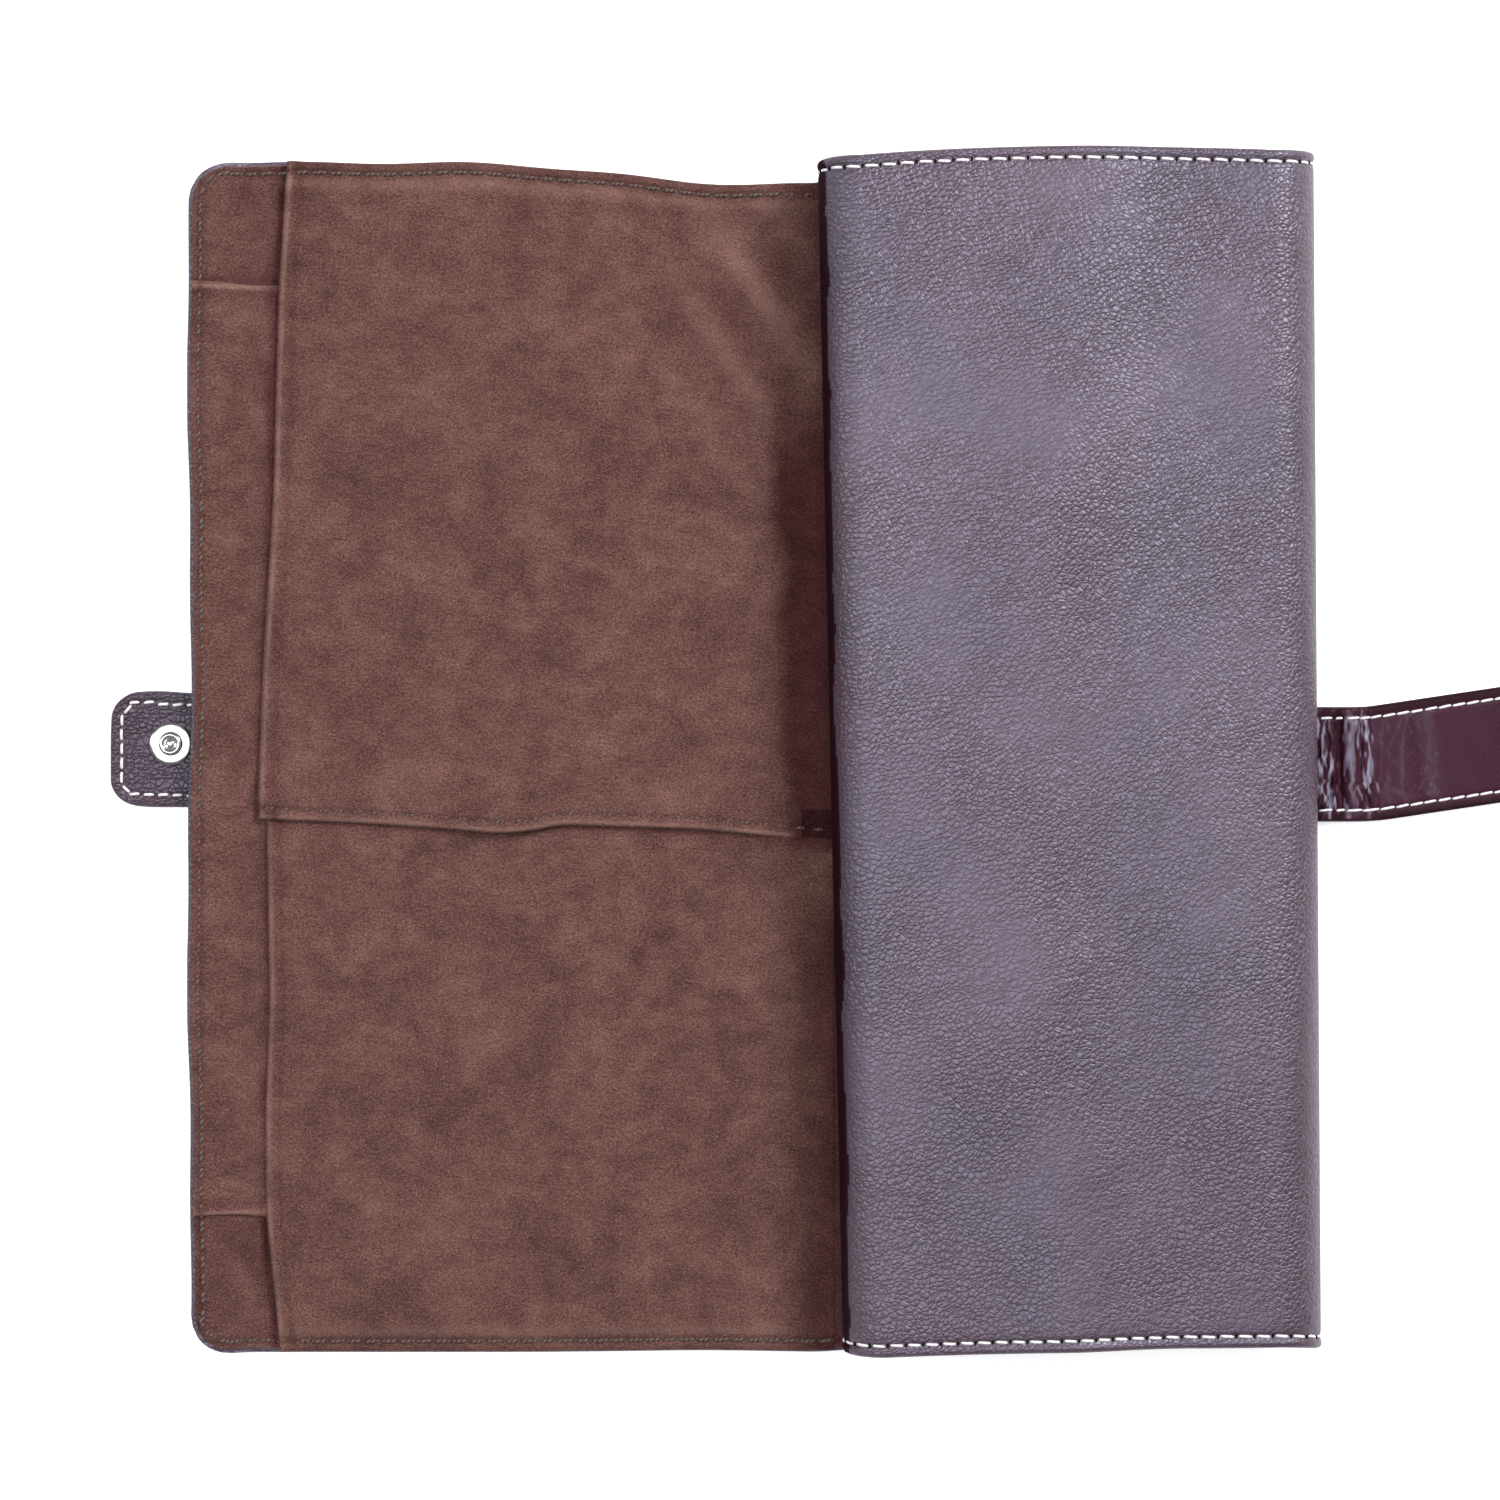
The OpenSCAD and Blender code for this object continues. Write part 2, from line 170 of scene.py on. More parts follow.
def y_top(s):
    x = path(s)[0]
    panel = 141.2 - 5.6 * sstep((x + 76) / 82) ** 1.2 + 0.25 * np.sin(x * 0.16)
    base = 141.4
    t = sstep((s - s_of_x(14)) / (s_of_x(34) - s_of_x(14)))
    y = panel * (1 - t) + base * t
    u = np.clip((s - S_R[4]) / (S_L0 - S_R[4]), 0, 1)
    top = 139.9 + 4.6 * u * (1 - u) - 1.1 * u ** 3
    k = sstep((s - S_R[1]) / (S_R[4] - S_R[1]))
    return y * (1 - k) + top * k


def y_bot(s):
    x = path(s)[0]
    panel = -144.7 + 0.7 * sstep((x + 60) / 80)
    t = sstep((s - s_of_x(14)) / (s_of_x(40) - s_of_x(14)))
    y = panel * (1 - t) + -142.0 * t
    u = np.clip((s - S_R[4]) / (S_L0 - S_R[4]), 0, 1)
    top = -139.3 - 1.2 * u - 1.3 * u * u
    k = sstep((s - S_R[1]) / (S_R[4] - S_R[1]))
    return y * (1 - k) + top * k


# ---------------------------------------------------------------- meshes
def new_mesh(name, verts, faces, uvs=None, sharp=50):
    me = bpy.data.meshes.new(name)
    me.from_pydata([tuple(v) for v in W(verts)], [], [tuple(int(i) for i in f) for f in faces])
    if uvs is not None:
        layer = me.uv_layers.new(name="flatmap")
        idx = np.empty(len(me.loops), np.int32)
        me.loops.foreach_get("vertex_index", idx)
        layer.data.foreach_set("uv", np.asarray(uvs, np.float32)[idx].reshape(-1))
    me.polygons.foreach_set("use_smooth", [True] * len(me.polygons))
    me.set_sharp_from_angle(angle=math.radians(sharp))
    me.update()
    ob = bpy.data.objects.new(name, me)
    bpy.context.scene.collection.objects.link(ob)
    return ob


FLAT = {}


def samples(length, coarse, fine, zone, lo_free, hi_free):
    """Places from 0 to 1, close together near a free edge."""
    pts = []
    a = 0.0
    if lo_free:
        n = max(2, int(round(min(zone, length / 2) / fine)))
        pts += list(np.linspace(0, min(zone, length / 2), n, endpoint=False))
        a = min(zone, length / 2)
    b = length - (min(zone, length / 2) if hi_free else 0)
    n = max(1, int(math.ceil((b - a) / coarse)))
    pts += list(np.linspace(a, b, n, endpoint=False))
    if hi_free:
        n = max(2, int(round((length - b) / fine)))
        pts += list(np.linspace(b, length, n, endpoint=False))
    pts.append(length)
    return np.unique(np.round(np.array(pts) / length, 7))


def slab(name, sl, sr, yb, yt, lo, hi, free="lrbt", rim=0.5, low_rim=None, coarse=(2.0, 2.5), fine=0.35, zone=4.2,
         place=surf, wobble=None, nap=None):
    """A closed soft plate in (s, y), from height lo to height hi. Its free sides are rounded."""
    fl, fr, fb, ft = (c in free for c in "lrbt")
    mid_s = 0.5 * (float(np.mean(sl(np.array([0.0])))) + float(np.mean(sr(np.array([0.0])))))
    ym0, ym1 = float(np.mean(yb(np.array([mid_s])))), float(np.mean(yt(np.array([mid_s]))))
    length_s = float(np.max(sr(np.linspace(ym0, ym1, 9)) - sl(np.linspace(ym0, ym1, 9))))
    A = samples(length_s, coarse[0], fine, zone, fl, fr)
    B = samples(ym1 - ym0, coarse[1], fine, zone, fb, ft)
    yn = ym0 + (ym1 - ym0) * B[None, :] + 0 * A[:, None]
    s = sl(yn) + (sr(yn) - sl(yn)) * A[:, None]
    y = yb(s) + (yt(s) - yb(s)) * B[None, :]
    d = np.full(s.shape, 99.0)
    if fl:
        d = np.minimum(d, s - sl(yn))
    if fr:
        d = np.minimum(d, sr(yn) - s)
    if fb:
        d = np.minimum(d, y - yb(s))
    if ft:
        d = np.minimum(d, yt(s) - y)
    d = np.maximum(d, 0)

    def drop(r):
        q = np.clip((r - d) / r, 0, 1) if r > 0 else 0 * d
        return r * (1 - np.sqrt(np.maximum(1 - q * q, 0)))
    h1 = hi(s, y, d) - drop(rim)
    h0 = lo(s, y, d) + drop(rim if low_rim is None else low_rim)
    h0 = np.minimum(h0, h1 - 0.03)
    if wobble is not None:
        ds, dy = wobble(s, y)
        s, y = s + ds, y + dy
    up, dn = place(s, y, h1), place(s, y, h0)
    na, nb = s.shape
    idx = np.arange(na * nb).reshape(na, nb)
    verts = np.concatenate([up.reshape(-1, 3), dn.reshape(-1, 3)])
    off = na * nb
    q = np.stack([idx[:-1, :-1], idx[1:, :-1], idx[1:, 1:], idx[:-1, 1:]], -1).reshape(-1, 4)
    faces = [q, q[:, ::-1] + off]
    ring = np.concatenate([idx[:, 0], idx[-1, 1:], idx[-2::-1, -1], idx[0, -2:0:-1]])
    nxt = np.roll(ring, -1)
    faces.append(np.stack([ring + off, nxt + off, nxt, ring], -1))
    uv = np.stack([s, y], -1).reshape(-1, 2) / 100.0
    ob = new_mesh(name, verts, np.concatenate(faces), np.concatenate([uv, uv]))
    ds = np.diff(s, axis=0)[:, :-1]
    dy = np.diff(y, axis=1)[:-1, :]
    FLAT[name] = (float(np.ptp(s)) / 1000, float(np.ptp(y)) / 1000, float(np.abs(ds * dy).sum()) / 1e6)
    # the per-point attribute holds painted light and shade, which the materials turn into colour
    if nap is not None:
        v = np.clip(nap(s, y, d), -1, 1).reshape(-1)
        layer = ob.data.attributes.new("nap", "FLOAT", "POINT")
        layer.data.foreach_set("value", np.concatenate([v, v]).astype(np.float32))
    return ob


def roll_shade(s, y):
    """Painted shade: where the suede is darkened beside the roll, standing in for the roll's shadow."""
    x = path(s)[0]
    up = sstep((x - (6.5 - 0.03 * (y + 20)) + 1.2 * fbm(y / 14, x / 9, 81, 2) * 4) / 5.5) * sstep((92 - y) / 26) * sstep((y + 26) / 6)
    low = sstep((x - 10 + 4 * fbm(y / 16, x / 9, 82, 2)) / 9) * sstep((-30 - y) / 14) * 0.75
    top = 0.35 * sstep((x - 8) / 8) * sstep((y - 90) / 12)
    return np.clip(up + low + top, 0, 1) * (1 - sstep((x - 19) / 8)) * (s < S_R[0] - 8)


def curve(xs, vs):
    xs, vs = np.array(xs, float), np.array(vs, float)
    order = np.argsort(xs)
    xs, vs = xs[order], vs[order]
    fine = np.linspace(xs[0], xs[-1], 400)
    val = np.interp(fine, xs, vs)
    k = np.ones(17) / 17
    val = np.convolve(np.pad(val, 8, mode="edge"), k, mode="valid")
    return lambda q: np.interp(q, fine, val)


up_left = curve([150, 134.8, 111.6, 85.5, 60.3, 20.4, -5, -12.9, -22],
                [-110.4, -111.3, -112.8, -113.6, -114.2, -116.6, -117.6, -117.7, -117.4])
up_hem = curve([-125, -117, -92.4, -71.8, -60.3, -52, -45.5, -12, 19.9, 24],
               [-16.2, -16.6, -17.6, -19.0, -20.0, -19.4, -17.9, -19.0, -22.0, -22.5])
low_left = curve([-10, -14.8, -59.4, -86.2, -111.4, -138.7, -150],
                 [-115.9, -115.9, -115.2, -116.1, -115.9, -113.0, -112.3])


def fold_shade(s, y, d):
    """Painted shade: a dark band along the roll's left edge, where the leather turns under into shadow."""
    return -0.95 * sstep((s - (S_L[2] - 6.6 + 1.2 * fbm(y / 7, s / 5, 84, 2))) / 3.0) * (1 - sstep((s - S_L[4]) / 4))


# Painted shade on the lining: shadows beside the flaps' free edges and the end flap's edges, a little darker at the
# left end by the end flap, a darker line along the seams, and the painted shadow of the roll.
def lining_shade(s, y, d):
    x = path(s)[0]
    up = bell(x - up_left(y), -0.9, 1.2) * (y > up_hem(x) - 0.5)
    low = bell(x - low_left(y), -0.9, 1.1) * (y < up_hem(x))
    edge = np.minimum(y_top(s) - y, y - y_bot(s))
    seam = np.maximum(bell(edge, DARK_IN, 0.8), bell(s, DARK_IN + 0.5, 0.9))
    end = bell(np.abs(y) - 111.6, 0.9, 0.9) * (x < -109)
    corner = 0.20 * (x < -108)
    open_side = (1 - sstep((x - 30) / 4)) * (s < S_R[0] - 8)
    return -(0.95 * np.maximum(up, low) + 0.40 * seam + 0.45 * end + corner) * open_side - roll_shade(s, y)


def const(v):
    return lambda a, *r: np.full(np.shape(a), float(v)) if np.ndim(a) else float(v)


# ---------------------------------------------------------------- materials
def linear(*rgb):
    return [(c / 255 / 12.92 if c / 255 <= 0.04045 else ((c / 255 + 0.055) / 1.055) ** 2.4) for c in rgb]


class Mat:
    def __init__(self, name):
        self.m = bpy.data.materials.new(name)
        self.m.use_nodes = True
        self.t = self.m.node_tree
        self.p = self.t.nodes["Principled BSDF"]
        self.uv = None

    def n(self, kind, **inputs):
        node = self.t.nodes.new(kind)
        for k, v in inputs.items():
            if hasattr(node, k):
                setattr(node, k, v)
        return node

    def link(self, a, b):
        self.t.links.new(a, b)

    def coords(self):
        if self.uv is None:
            self.uv = self.n("ShaderNodeTexCoord").outputs["UV"]
        return self.uv

    def mapped(self, vec, scale, rot=0.0, loc=(0, 0, 0)):
        m = self.n("ShaderNodeMapping")
        self.link(vec, m.inputs["Vector"])
        m.inputs["Scale"].default_value = scale if hasattr(scale, "__len__") else (scale,) * 3
        m.inputs["Rotation"].default_value = (0, 0, rot)
        m.inputs["Location"].default_value = loc
        return m.outputs[0]

    def noise(self, vec, scale, detail=3.0, rough=0.55, dist=0.0, color=False):
        x = self.n("ShaderNodeTexNoise")
        self.link(vec, x.inputs["Vector"])
        x.inputs["Scale"].default_value = scale
        x.inputs["Detail"].default_value = detail
        x.inputs["Roughness"].default_value = rough
        x.inputs["Distortion"].default_value = dist
        return x.outputs["Color" if color else "Fac"]

    def voronoi(self, vec, scale, feature="F1", rnd=1.0):
        x = self.n("ShaderNodeTexVoronoi")
        x.feature = feature
        self.link(vec, x.inputs["Vector"])
        x.inputs["Scale"].default_value = scale
        x.inputs["Randomness"].default_value = rnd
        return x.outputs["Distance"]

    def ramp(self, fac, stops):
        r = self.n("ShaderNodeValToRGB")
        self.link(fac, r.inputs["Fac"])
        e = r.color_ramp.elements
        while len(e) < len(stops):
            e.new(0.5)
        for el, (pos, col) in zip(e, stops):
            el.position = pos
            el.color = (*col, 1) if hasattr(col, "__len__") else (col, col, col, 1)
        return r.outputs["Color"]

    def math(self, op, a, b=None, clamp=False):
        x = self.n("ShaderNodeMath")
        x.operation = op
        x.use_clamp = clamp
        for i, v in enumerate((a, b)):
            if v is None:
                continue
            if hasattr(v, "links"):
                self.link(v, x.inputs[i])
            else:
                x.inputs[i].default_value = v
        return x.outputs[0]

    def mix(self, fac, a, b, mode="MIX"):
        x = self.n("ShaderNodeMix")
        x.data_type = "RGBA"
        x.blend_type = mode
        for sock, v in ((x.inputs[0], fac), (x.inputs[6], a), (x.inputs[7], b)):
            if hasattr(v, "links"):
                self.link(v, sock)
            elif hasattr(v, "__len__"):
                sock.default_value = (*v, 1)
            else:
                sock.default_value = v
        return x.outputs[2]

    def add_vec(self, vec, other, amount):
        s = self.n("ShaderNodeVectorMath")
        s.operation = "SCALE"
        self.link(other, s.inputs[0])
        s.inputs["Scale"].default_value = amount
        a = self.n("ShaderNodeVectorMath")
        a.operation = "ADD"
        self.link(vec, a.inputs[0])
        self.link(s.outputs[0], a.inputs[1])
        return a.outputs[0]

    def bump(self, height, strength, distance, normal=None):
        b = self.n("ShaderNodeBump")
        b.inputs["Strength"].default_value = strength
        b.inputs["Distance"].default_value = distance
        self.link(height, b.inputs["Height"])
        if normal is not None:
            self.link(normal, b.inputs["Normal"])
        return b.outputs[0]

    def done(self, color=None, rough=None, normal=None, **fixed):
        names = {"spec": "Specular IOR Level", "sheen": "Sheen Weight", "sheen_rough": "Sheen Roughness",
                 "sheen_tint": "Sheen Tint", "coat": "Coat Weight", "coat_rough": "Coat Roughness",
                 "metal": "Metallic", "spec_tint": "Specular Tint"}
        if color is not None:
            if hasattr(color, "links"):
                self.link(color, self.p.inputs["Base Color"])
            else:
                self.p.inputs["Base Color"].default_value = (*color, 1)
        if rough is not None:
            if hasattr(rough, "links"):
                self.link(rough, self.p.inputs["Roughness"])
            else:
                self.p.inputs["Roughness"].default_value = rough
        if normal is not None:
            self.link(normal, self.p.inputs["Normal"])
        for k, v in fixed.items():
            self.p.inputs[names[k]].default_value = (*v, 1) if hasattr(v, "__len__") else v
        return self.m


def leather_material(name, dark, mid, light, cell=1.18, bump=0.62, rough=(0.35, 0.48), coat=0.0, spec=1.0, ior=1.6,
                     spec_tint=(0.77, 0.785, 1.0), deep=0.62, painted_highlight=(0.30, 0.29, 0.38)):
    m = Mat(name)
    uv = m.coords()
    warp = m.noise(uv, 13, 3, 0.6, color=True)
    v1 = m.add_vec(uv, warp, 0.030)
    v2 = m.add_vec(v1, m.noise(uv, 70, 2, 0.5, color=True), 0.003)
    grain = m.mapped(v2, (0.92, 1.05, 1.0), 0.15)
    d1 = m.voronoi(grain, 100 / cell, "F1")
    dome = m.ramp(d1, [(0.0, 1.0), (0.25, 0.90), (0.45, 0.62), (0.62, 0.25), (0.8, 0.0)])
    edge = m.voronoi(grain, 100 / cell, "DISTANCE_TO_EDGE")
    gap = m.ramp(edge, [(0.0, 0.0), (0.06, 0.42), (0.14, 0.85), (0.24, 1.0)])
    pebble = m.math("ADD", m.math("MULTIPLY", dome, 0.5), m.math("MULTIPLY", gap, 0.5))
    d2 = m.voronoi(m.mapped(v2, (0.85, 1.2, 1.0), 0.9), 100 / (cell * 0.55), "SMOOTH_F1")
    fine = m.ramp(d2, [(0.0, 1.0), (0.35, 0.75), (0.7, 0.0)])
    lines = m.noise(m.mapped(v1, (0.55, 1.5, 1.0), -0.12), 52, 3, 0.6)
    pores = m.noise(uv, 520, 2, 0.6)
    swell = m.noise(uv, 22, 3, 0.55)
    # the grain is stronger in some areas than in others
    area = m.ramp(m.noise(uv, 3.1, 2, 0.5), [(0.32, 0.40), (0.66, 1.0)])
    h = m.math("MULTIPLY", pebble, area)
    h = m.math("ADD", h, m.math("MULTIPLY", fine, 0.16))
    h = m.math("ADD", h, m.math("MULTIPLY", lines, 0.22))
    h = m.math("ADD", h, m.math("MULTIPLY", pores, 0.10))
    h = m.math("ADD", h, m.math("MULTIPLY", swell, 0.9))
    nrm = m.bump(h, bump, 0.00034)
    tone = m.noise(uv, 2.4, 4, 0.6)
    base = m.ramp(tone, [(0.28, dark), (0.52, mid), (0.78, light)])
    # painted shade: the colour is darkened in the crevices between the pebbles
    cracks = m.ramp(pebble, [(0.0, deep), (0.45, 0.9), (0.9, 1.0)])
    col = m.mix(1.0, base, cracks, "MULTIPLY")
    lay = m.n("ShaderNodeAttribute")
    lay.attribute_name = "nap"
    lay = lay.outputs["Fac"]
    # painted highlight: positive attribute values lighten the leather towards a blue-grey reflection colour
    col = m.mix(m.math("MULTIPLY", lay, 1.0, clamp=True), col, painted_highlight)
    # painted shade: negative attribute values darken the leather to near black and make it rougher
    sunk = m.math("MULTIPLY", lay, -1.0, clamp=True)
    col = m.mix(sunk, col, (0.012, 0.0012, 0.0035))
    r = m.math("ADD", m.math("MULTIPLY", m.noise(uv, 14, 3, 0.6), rough[1] - rough[0]), rough[0])
    r = m.math("ADD", r, m.math("MULTIPLY", sunk, 0.45))
    r = m.math("ADD", r, m.math("MULTIPLY", m.math("SUBTRACT", 1.0, pebble), 0.16))
    m.p.inputs["IOR"].default_value = ior
    return m.done(col, r, nrm, spec=spec, coat=coat, coat_rough=0.28, spec_tint=spec_tint)


def suede_material(name, dark, mid, light, tint=(1.0, 0.78, 0.70)):
    m = Mat(name)
    uv = m.coords()
    blot = m.noise(uv, 5.5, 5, 0.7, 0.5)
    cloud = m.noise(m.mapped(uv, (0.7, 1.0, 1.0), 0.25), 24, 4, 0.7)
    nap = m.noise(m.mapped(uv, (0.8, 1.0, 1.0), 0.12), 165, 3, 0.75)
    fuzz = m.noise(uv, 290, 2, 0.8)
    f = m.math("MULTIPLY", blot, 0.18)
    f = m.math("ADD", f, m.math("MULTIPLY", cloud, 0.12))
    f = m.math("ADD", f, m.math("MULTIPLY", nap, 0.30))
    f = m.math("ADD", f, m.math("MULTIPLY", fuzz, 0.40))
    col = m.ramp(f, [(0.415, dark), (0.505, mid), (0.60, light)])
    lay = m.n("ShaderNodeAttribute")
    lay.attribute_name = "nap"
    lay = lay.outputs["Fac"]
    # painted highlight: positive attribute values lighten the suede along its folded edges
    lit = m.math("MULTIPLY", m.math("MAXIMUM", lay, 0.0), 0.55, clamp=True)
    col = m.mix(lit, col, (0.34, 0.20, 0.165))
    # painted shade: negative attribute values darken the suede to a reddish brown, for shadows beside edges and the
    # roll
    shade = m.math("MULTIPLY", lay, -1.0, clamp=True)
    col = m.mix(shade, col, m.mix(1.0, col, (0.50, 0.31, 0.38), "MULTIPLY"))
    h = m.math("ADD", m.math("MULTIPLY", fuzz, 0.9), m.math("MULTIPLY", nap, 0.9))
    h = m.math("ADD", h, m.math("MULTIPLY", cloud, 0.35))
    nrm = m.bump(h, 0.9, 0.00034)
    return m.done(col, 0.95, nrm, spec=0.08, sheen=0.12, sheen_rough=0.5, sheen_tint=tint)


def thread_material(name, light, dark, twist):
    m = Mat(name)
    uv = m.coords()
    ply = m.n("ShaderNodeTexWave")
    m.link(m.mapped(uv, 1.0, 0.7), ply.inputs["Vector"])
    ply.inputs["Scale"].default_value = 34
    ply.inputs["Distortion"].default_value = 1.2
    dirt = m.noise(uv, 22, 3, 0.6)
    col = m.mix(m.math("MULTIPLY", ply.outputs["Fac"], twist), light, dark)
    col = m.mix(m.math("MULTIPLY", dirt, 0.25), col, dark)
    return m.done(col, 0.62, m.bump(ply.outputs["Fac"], 0.5, 0.0001), spec=0.35, sheen=0.2)


def felt_material(name, a, b):
    m = Mat(name)
    uv = m.coords()
    f = m.noise(uv, 160, 4, 0.7)
    return m.done(m.ramp(f, [(0.3, a), (0.7, b)]), 0.95, m.bump(f, 0.5, 0.0003), spec=0.1)


def woven_material(name, a, b):
    m = Mat(name)
    uv = m.coords()
    w1, w2 = m.n("ShaderNodeTexWave"), m.n("ShaderNodeTexWave")
    m.link(uv, w1.inputs["Vector"])
    m.link(m.mapped(uv, 1.0, math.pi / 2), w2.inputs["Vector"])
    for w in (w1, w2):
        w.inputs["Scale"].default_value = 32
        w.inputs["Distortion"].default_value = 0.6
    h = m.math("MULTIPLY", w1.outputs["Fac"], w2.outputs["Fac"])
    return m.done(m.ramp(h, [(0.1, a), (0.8, b)]), 0.8, m.bump(h, 0.7, 0.0002), spec=0.25, sheen=0.2)


def metal_material(name):
    m = Mat(name)
    obj = m.n("ShaderNodeTexCoord").outputs["Object"]
    scr = m.noise(m.mapped(obj, (900, 5200, 900), 0.6), 1.0, 3, 0.6)
    r = m.math("ADD", m.math("MULTIPLY", scr, 0.16), 0.13)
    col = m.ramp(m.noise(obj, 420, 3, 0.6), [(0.3, linear(150, 148, 148)), (0.7, linear(186, 184, 182))])
    return m.done(col, r, m.bump(scr, 0.12, 0.00005), metal=1.0)


LEATHER = leather_material("aubergine_leather", (0.026, 0.007, 0.012), (0.036, 0.009, 0.015), (0.046, 0.013, 0.020))
# a copy of the leather with almost no shine, used under the painted shade along the roll's left edge
FOLD_SHADE_LEATHER = leather_material("dull_fold_leather", (0.026, 0.007, 0.012), (0.036, 0.009, 0.015), (0.046, 0.013, 0.020), spec=0.07)
STRAP_LEATHER = leather_material("burgundy_strap_leather", (0.026, 0.006, 0.013), (0.037, 0.008, 0.018), (0.048, 0.012, 0.024),
                                 cell=1.0, bump=0.10, rough=(0.22, 0.34), coat=0.0, spec=0.16, ior=1.5, deep=0.85, spec_tint=(0.9, 0.86, 1.0))
TAB_LEATHER = leather_material("tab_leather", (0.024, 0.009, 0.013), (0.034, 0.012, 0.017), (0.044, 0.016, 0.022), cell=1.25, bump=0.9, spec=0.62,
                               rough=(0.30, 0.44))
SUEDE = suede_material("brown_suede", (0.036, 0.014, 0.012), (0.102, 0.048, 0.040), (0.205, 0.108, 0.092))
WHITE_THREAD = thread_material("cream_thread", linear(226, 226, 228), linear(178, 172, 172), 0.4)
DARK_THREAD = thread_material("dark_thread", linear(104, 80, 72), linear(30, 15, 15), 1.0)
FELT = felt_material("felt_padding", linear(70, 64, 60), linear(96, 90, 84))
ELASTIC = woven_material("elastic_band", linear(40, 26, 24), linear(78, 54, 48))
METAL = metal_material("nickel")
# near-black material: painted shade inside the needle holes
HOLE_SHADE = Mat("needle_hole").done((0.006, 0.003, 0.004), 0.9, spec=0.05)


# ---------------------------------------------------------------- joining pieces to bodies
def point(s, h=0.0):
    x, z, a = path(np.array([s]))
    return V(float(x[0] - math.sin(a[0]) * h), 0, float(z[0] + math.cos(a[0]) * h))


CUTS = []


def attach(ob, mat, slot, how, replaces=()):
    ob.data.materials.append(mat)
    if isinstance(how, str):
        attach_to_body(ob, how)
    else:
        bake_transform(ob)
    for r in replaces:
        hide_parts(r)
    if ob.name in FLAT:
        CUTS.append((ob, slot, *FLAT[ob.name]))
    return ob


def blend_of(a, b, s0, s1, margin):
    p, q = point(s0), point(s1)
    d = (q - p).normalized() * (margin * 0.001)
    return (a, b, p + d, q - d)


HALF_STRIP = 5.8
S_C = [float(s_of_x(h[0] - HALF_STRIP)) for h in (H0, H1, H2, H3)] + [float(s_of_x(H3[0] + HALF_STRIP))]
CHAIN = [("panel", S_MIN, S_C[0], "panel")]
_names = ["panel", "close_strip_1", "close_strip_2", "close_strip_3", "roll_base"]
for k in range(4):
    CHAIN.append((f"close{k + 1}", S_C[k], S_C[k + 1], blend_of(_names[k], _names[k + 1], S_C[k], S_C[k + 1], 0.6)))
# the first and last stretch of each fold run on along the straight, where the skins meet smoothly
S_R_CUT = [S_R[0] - 3.0, S_R[1], S_R[2], S_R[3], S_R[4] + 3.0]
S_L_CUT = [S_L[0] - 3.0, S_L[1], S_L[2], S_L[3], S_L[4] + 3.0]
CHAIN.append(("base", S_C[4], S_R_CUT[0], "roll_base"))
_names = ["roll_base", "right_strip_1", "right_strip_2", "right_strip_3", "roll_top"]
for k in range(4):
    CHAIN.append((f"right{k + 1}", S_R_CUT[k], S_R_CUT[k + 1],
                  blend_of(_names[k], _names[k + 1], S_R_CUT[k], S_R_CUT[k + 1], 1.25)))
CHAIN.append(("top", S_R_CUT[4], S_L_CUT[0], "roll_top"))
_names = ["roll_top", "left_strip_1", "left_strip_2", "left_strip_3", "roll_tail"]
for k in range(4):
    CHAIN.append((f"left{k + 1}", S_L_CUT[k], S_L_CUT[k + 1],
                  blend_of(_names[k], _names[k + 1], S_L_CUT[k], S_L_CUT[k + 1], 1.15)))
CHAIN.append(("tail", S_L_CUT[4], S_END, "roll_tail"))

CORNER = 9.6
STITCH_IN = 2.85
DARK_IN = 3.0


def left_edge(inset):
    def f(y):
        yt, yb = 141.2 - inset, -144.7 + inset
        r = CORNER - inset
        d = np.clip(np.minimum(yt - y, y - yb), 0, r)
        wav = 0.45 * np.sin(y * 0.045 + 0.5) + 0.2 * np.sin(y * 0.13)
        return inset + wav + 0.5 + r - np.sqrt(np.maximum(r * r - (r - d) ** 2, 0))
    return f


def stitched(s):
    """Where the contrast stitches run along the two long edges."""
    return sstep((s - 8) / 4) * (1 - sstep((s - S_END + 4) / 3))


def leather_lo(s, y, d):
    edge = np.minimum(y_top(s) - y, y - y_bot(s))
    groove = 0.34 * bell(edge, STITCH_IN, 0.75) * stitched(s)
    # the leather pillows a little between the stitches and the turned edge
    pillow = -0.14 * bell(edge, 1.35, 0.7) * stitched(s)
    small = 0.10 * fbm(s / 9, y / 9, 11, 2)
    pull = 0.28 * bell(s, S_R[2] + 2.0, 9) * bell(y, -4.0, 11) * np.sin(y * 1.25 + s * 0.22)
    return -HALF + groove + pillow + small * top_mask(s) + pull * 0.6


NODE_OF = {"panel": "panel", "base": "base", "top": "top", "tail": "tail",
           "close1": "close_fold_1", "close2": "close_fold_2", "close3": "close_fold_3",
           "right1": "right_fold_1", "right2": "right_fold_2", "right3": "right_fold_3",
           "left1": "left_fold_1", "left2": "left_fold_2", "left3": "left_fold_3"}

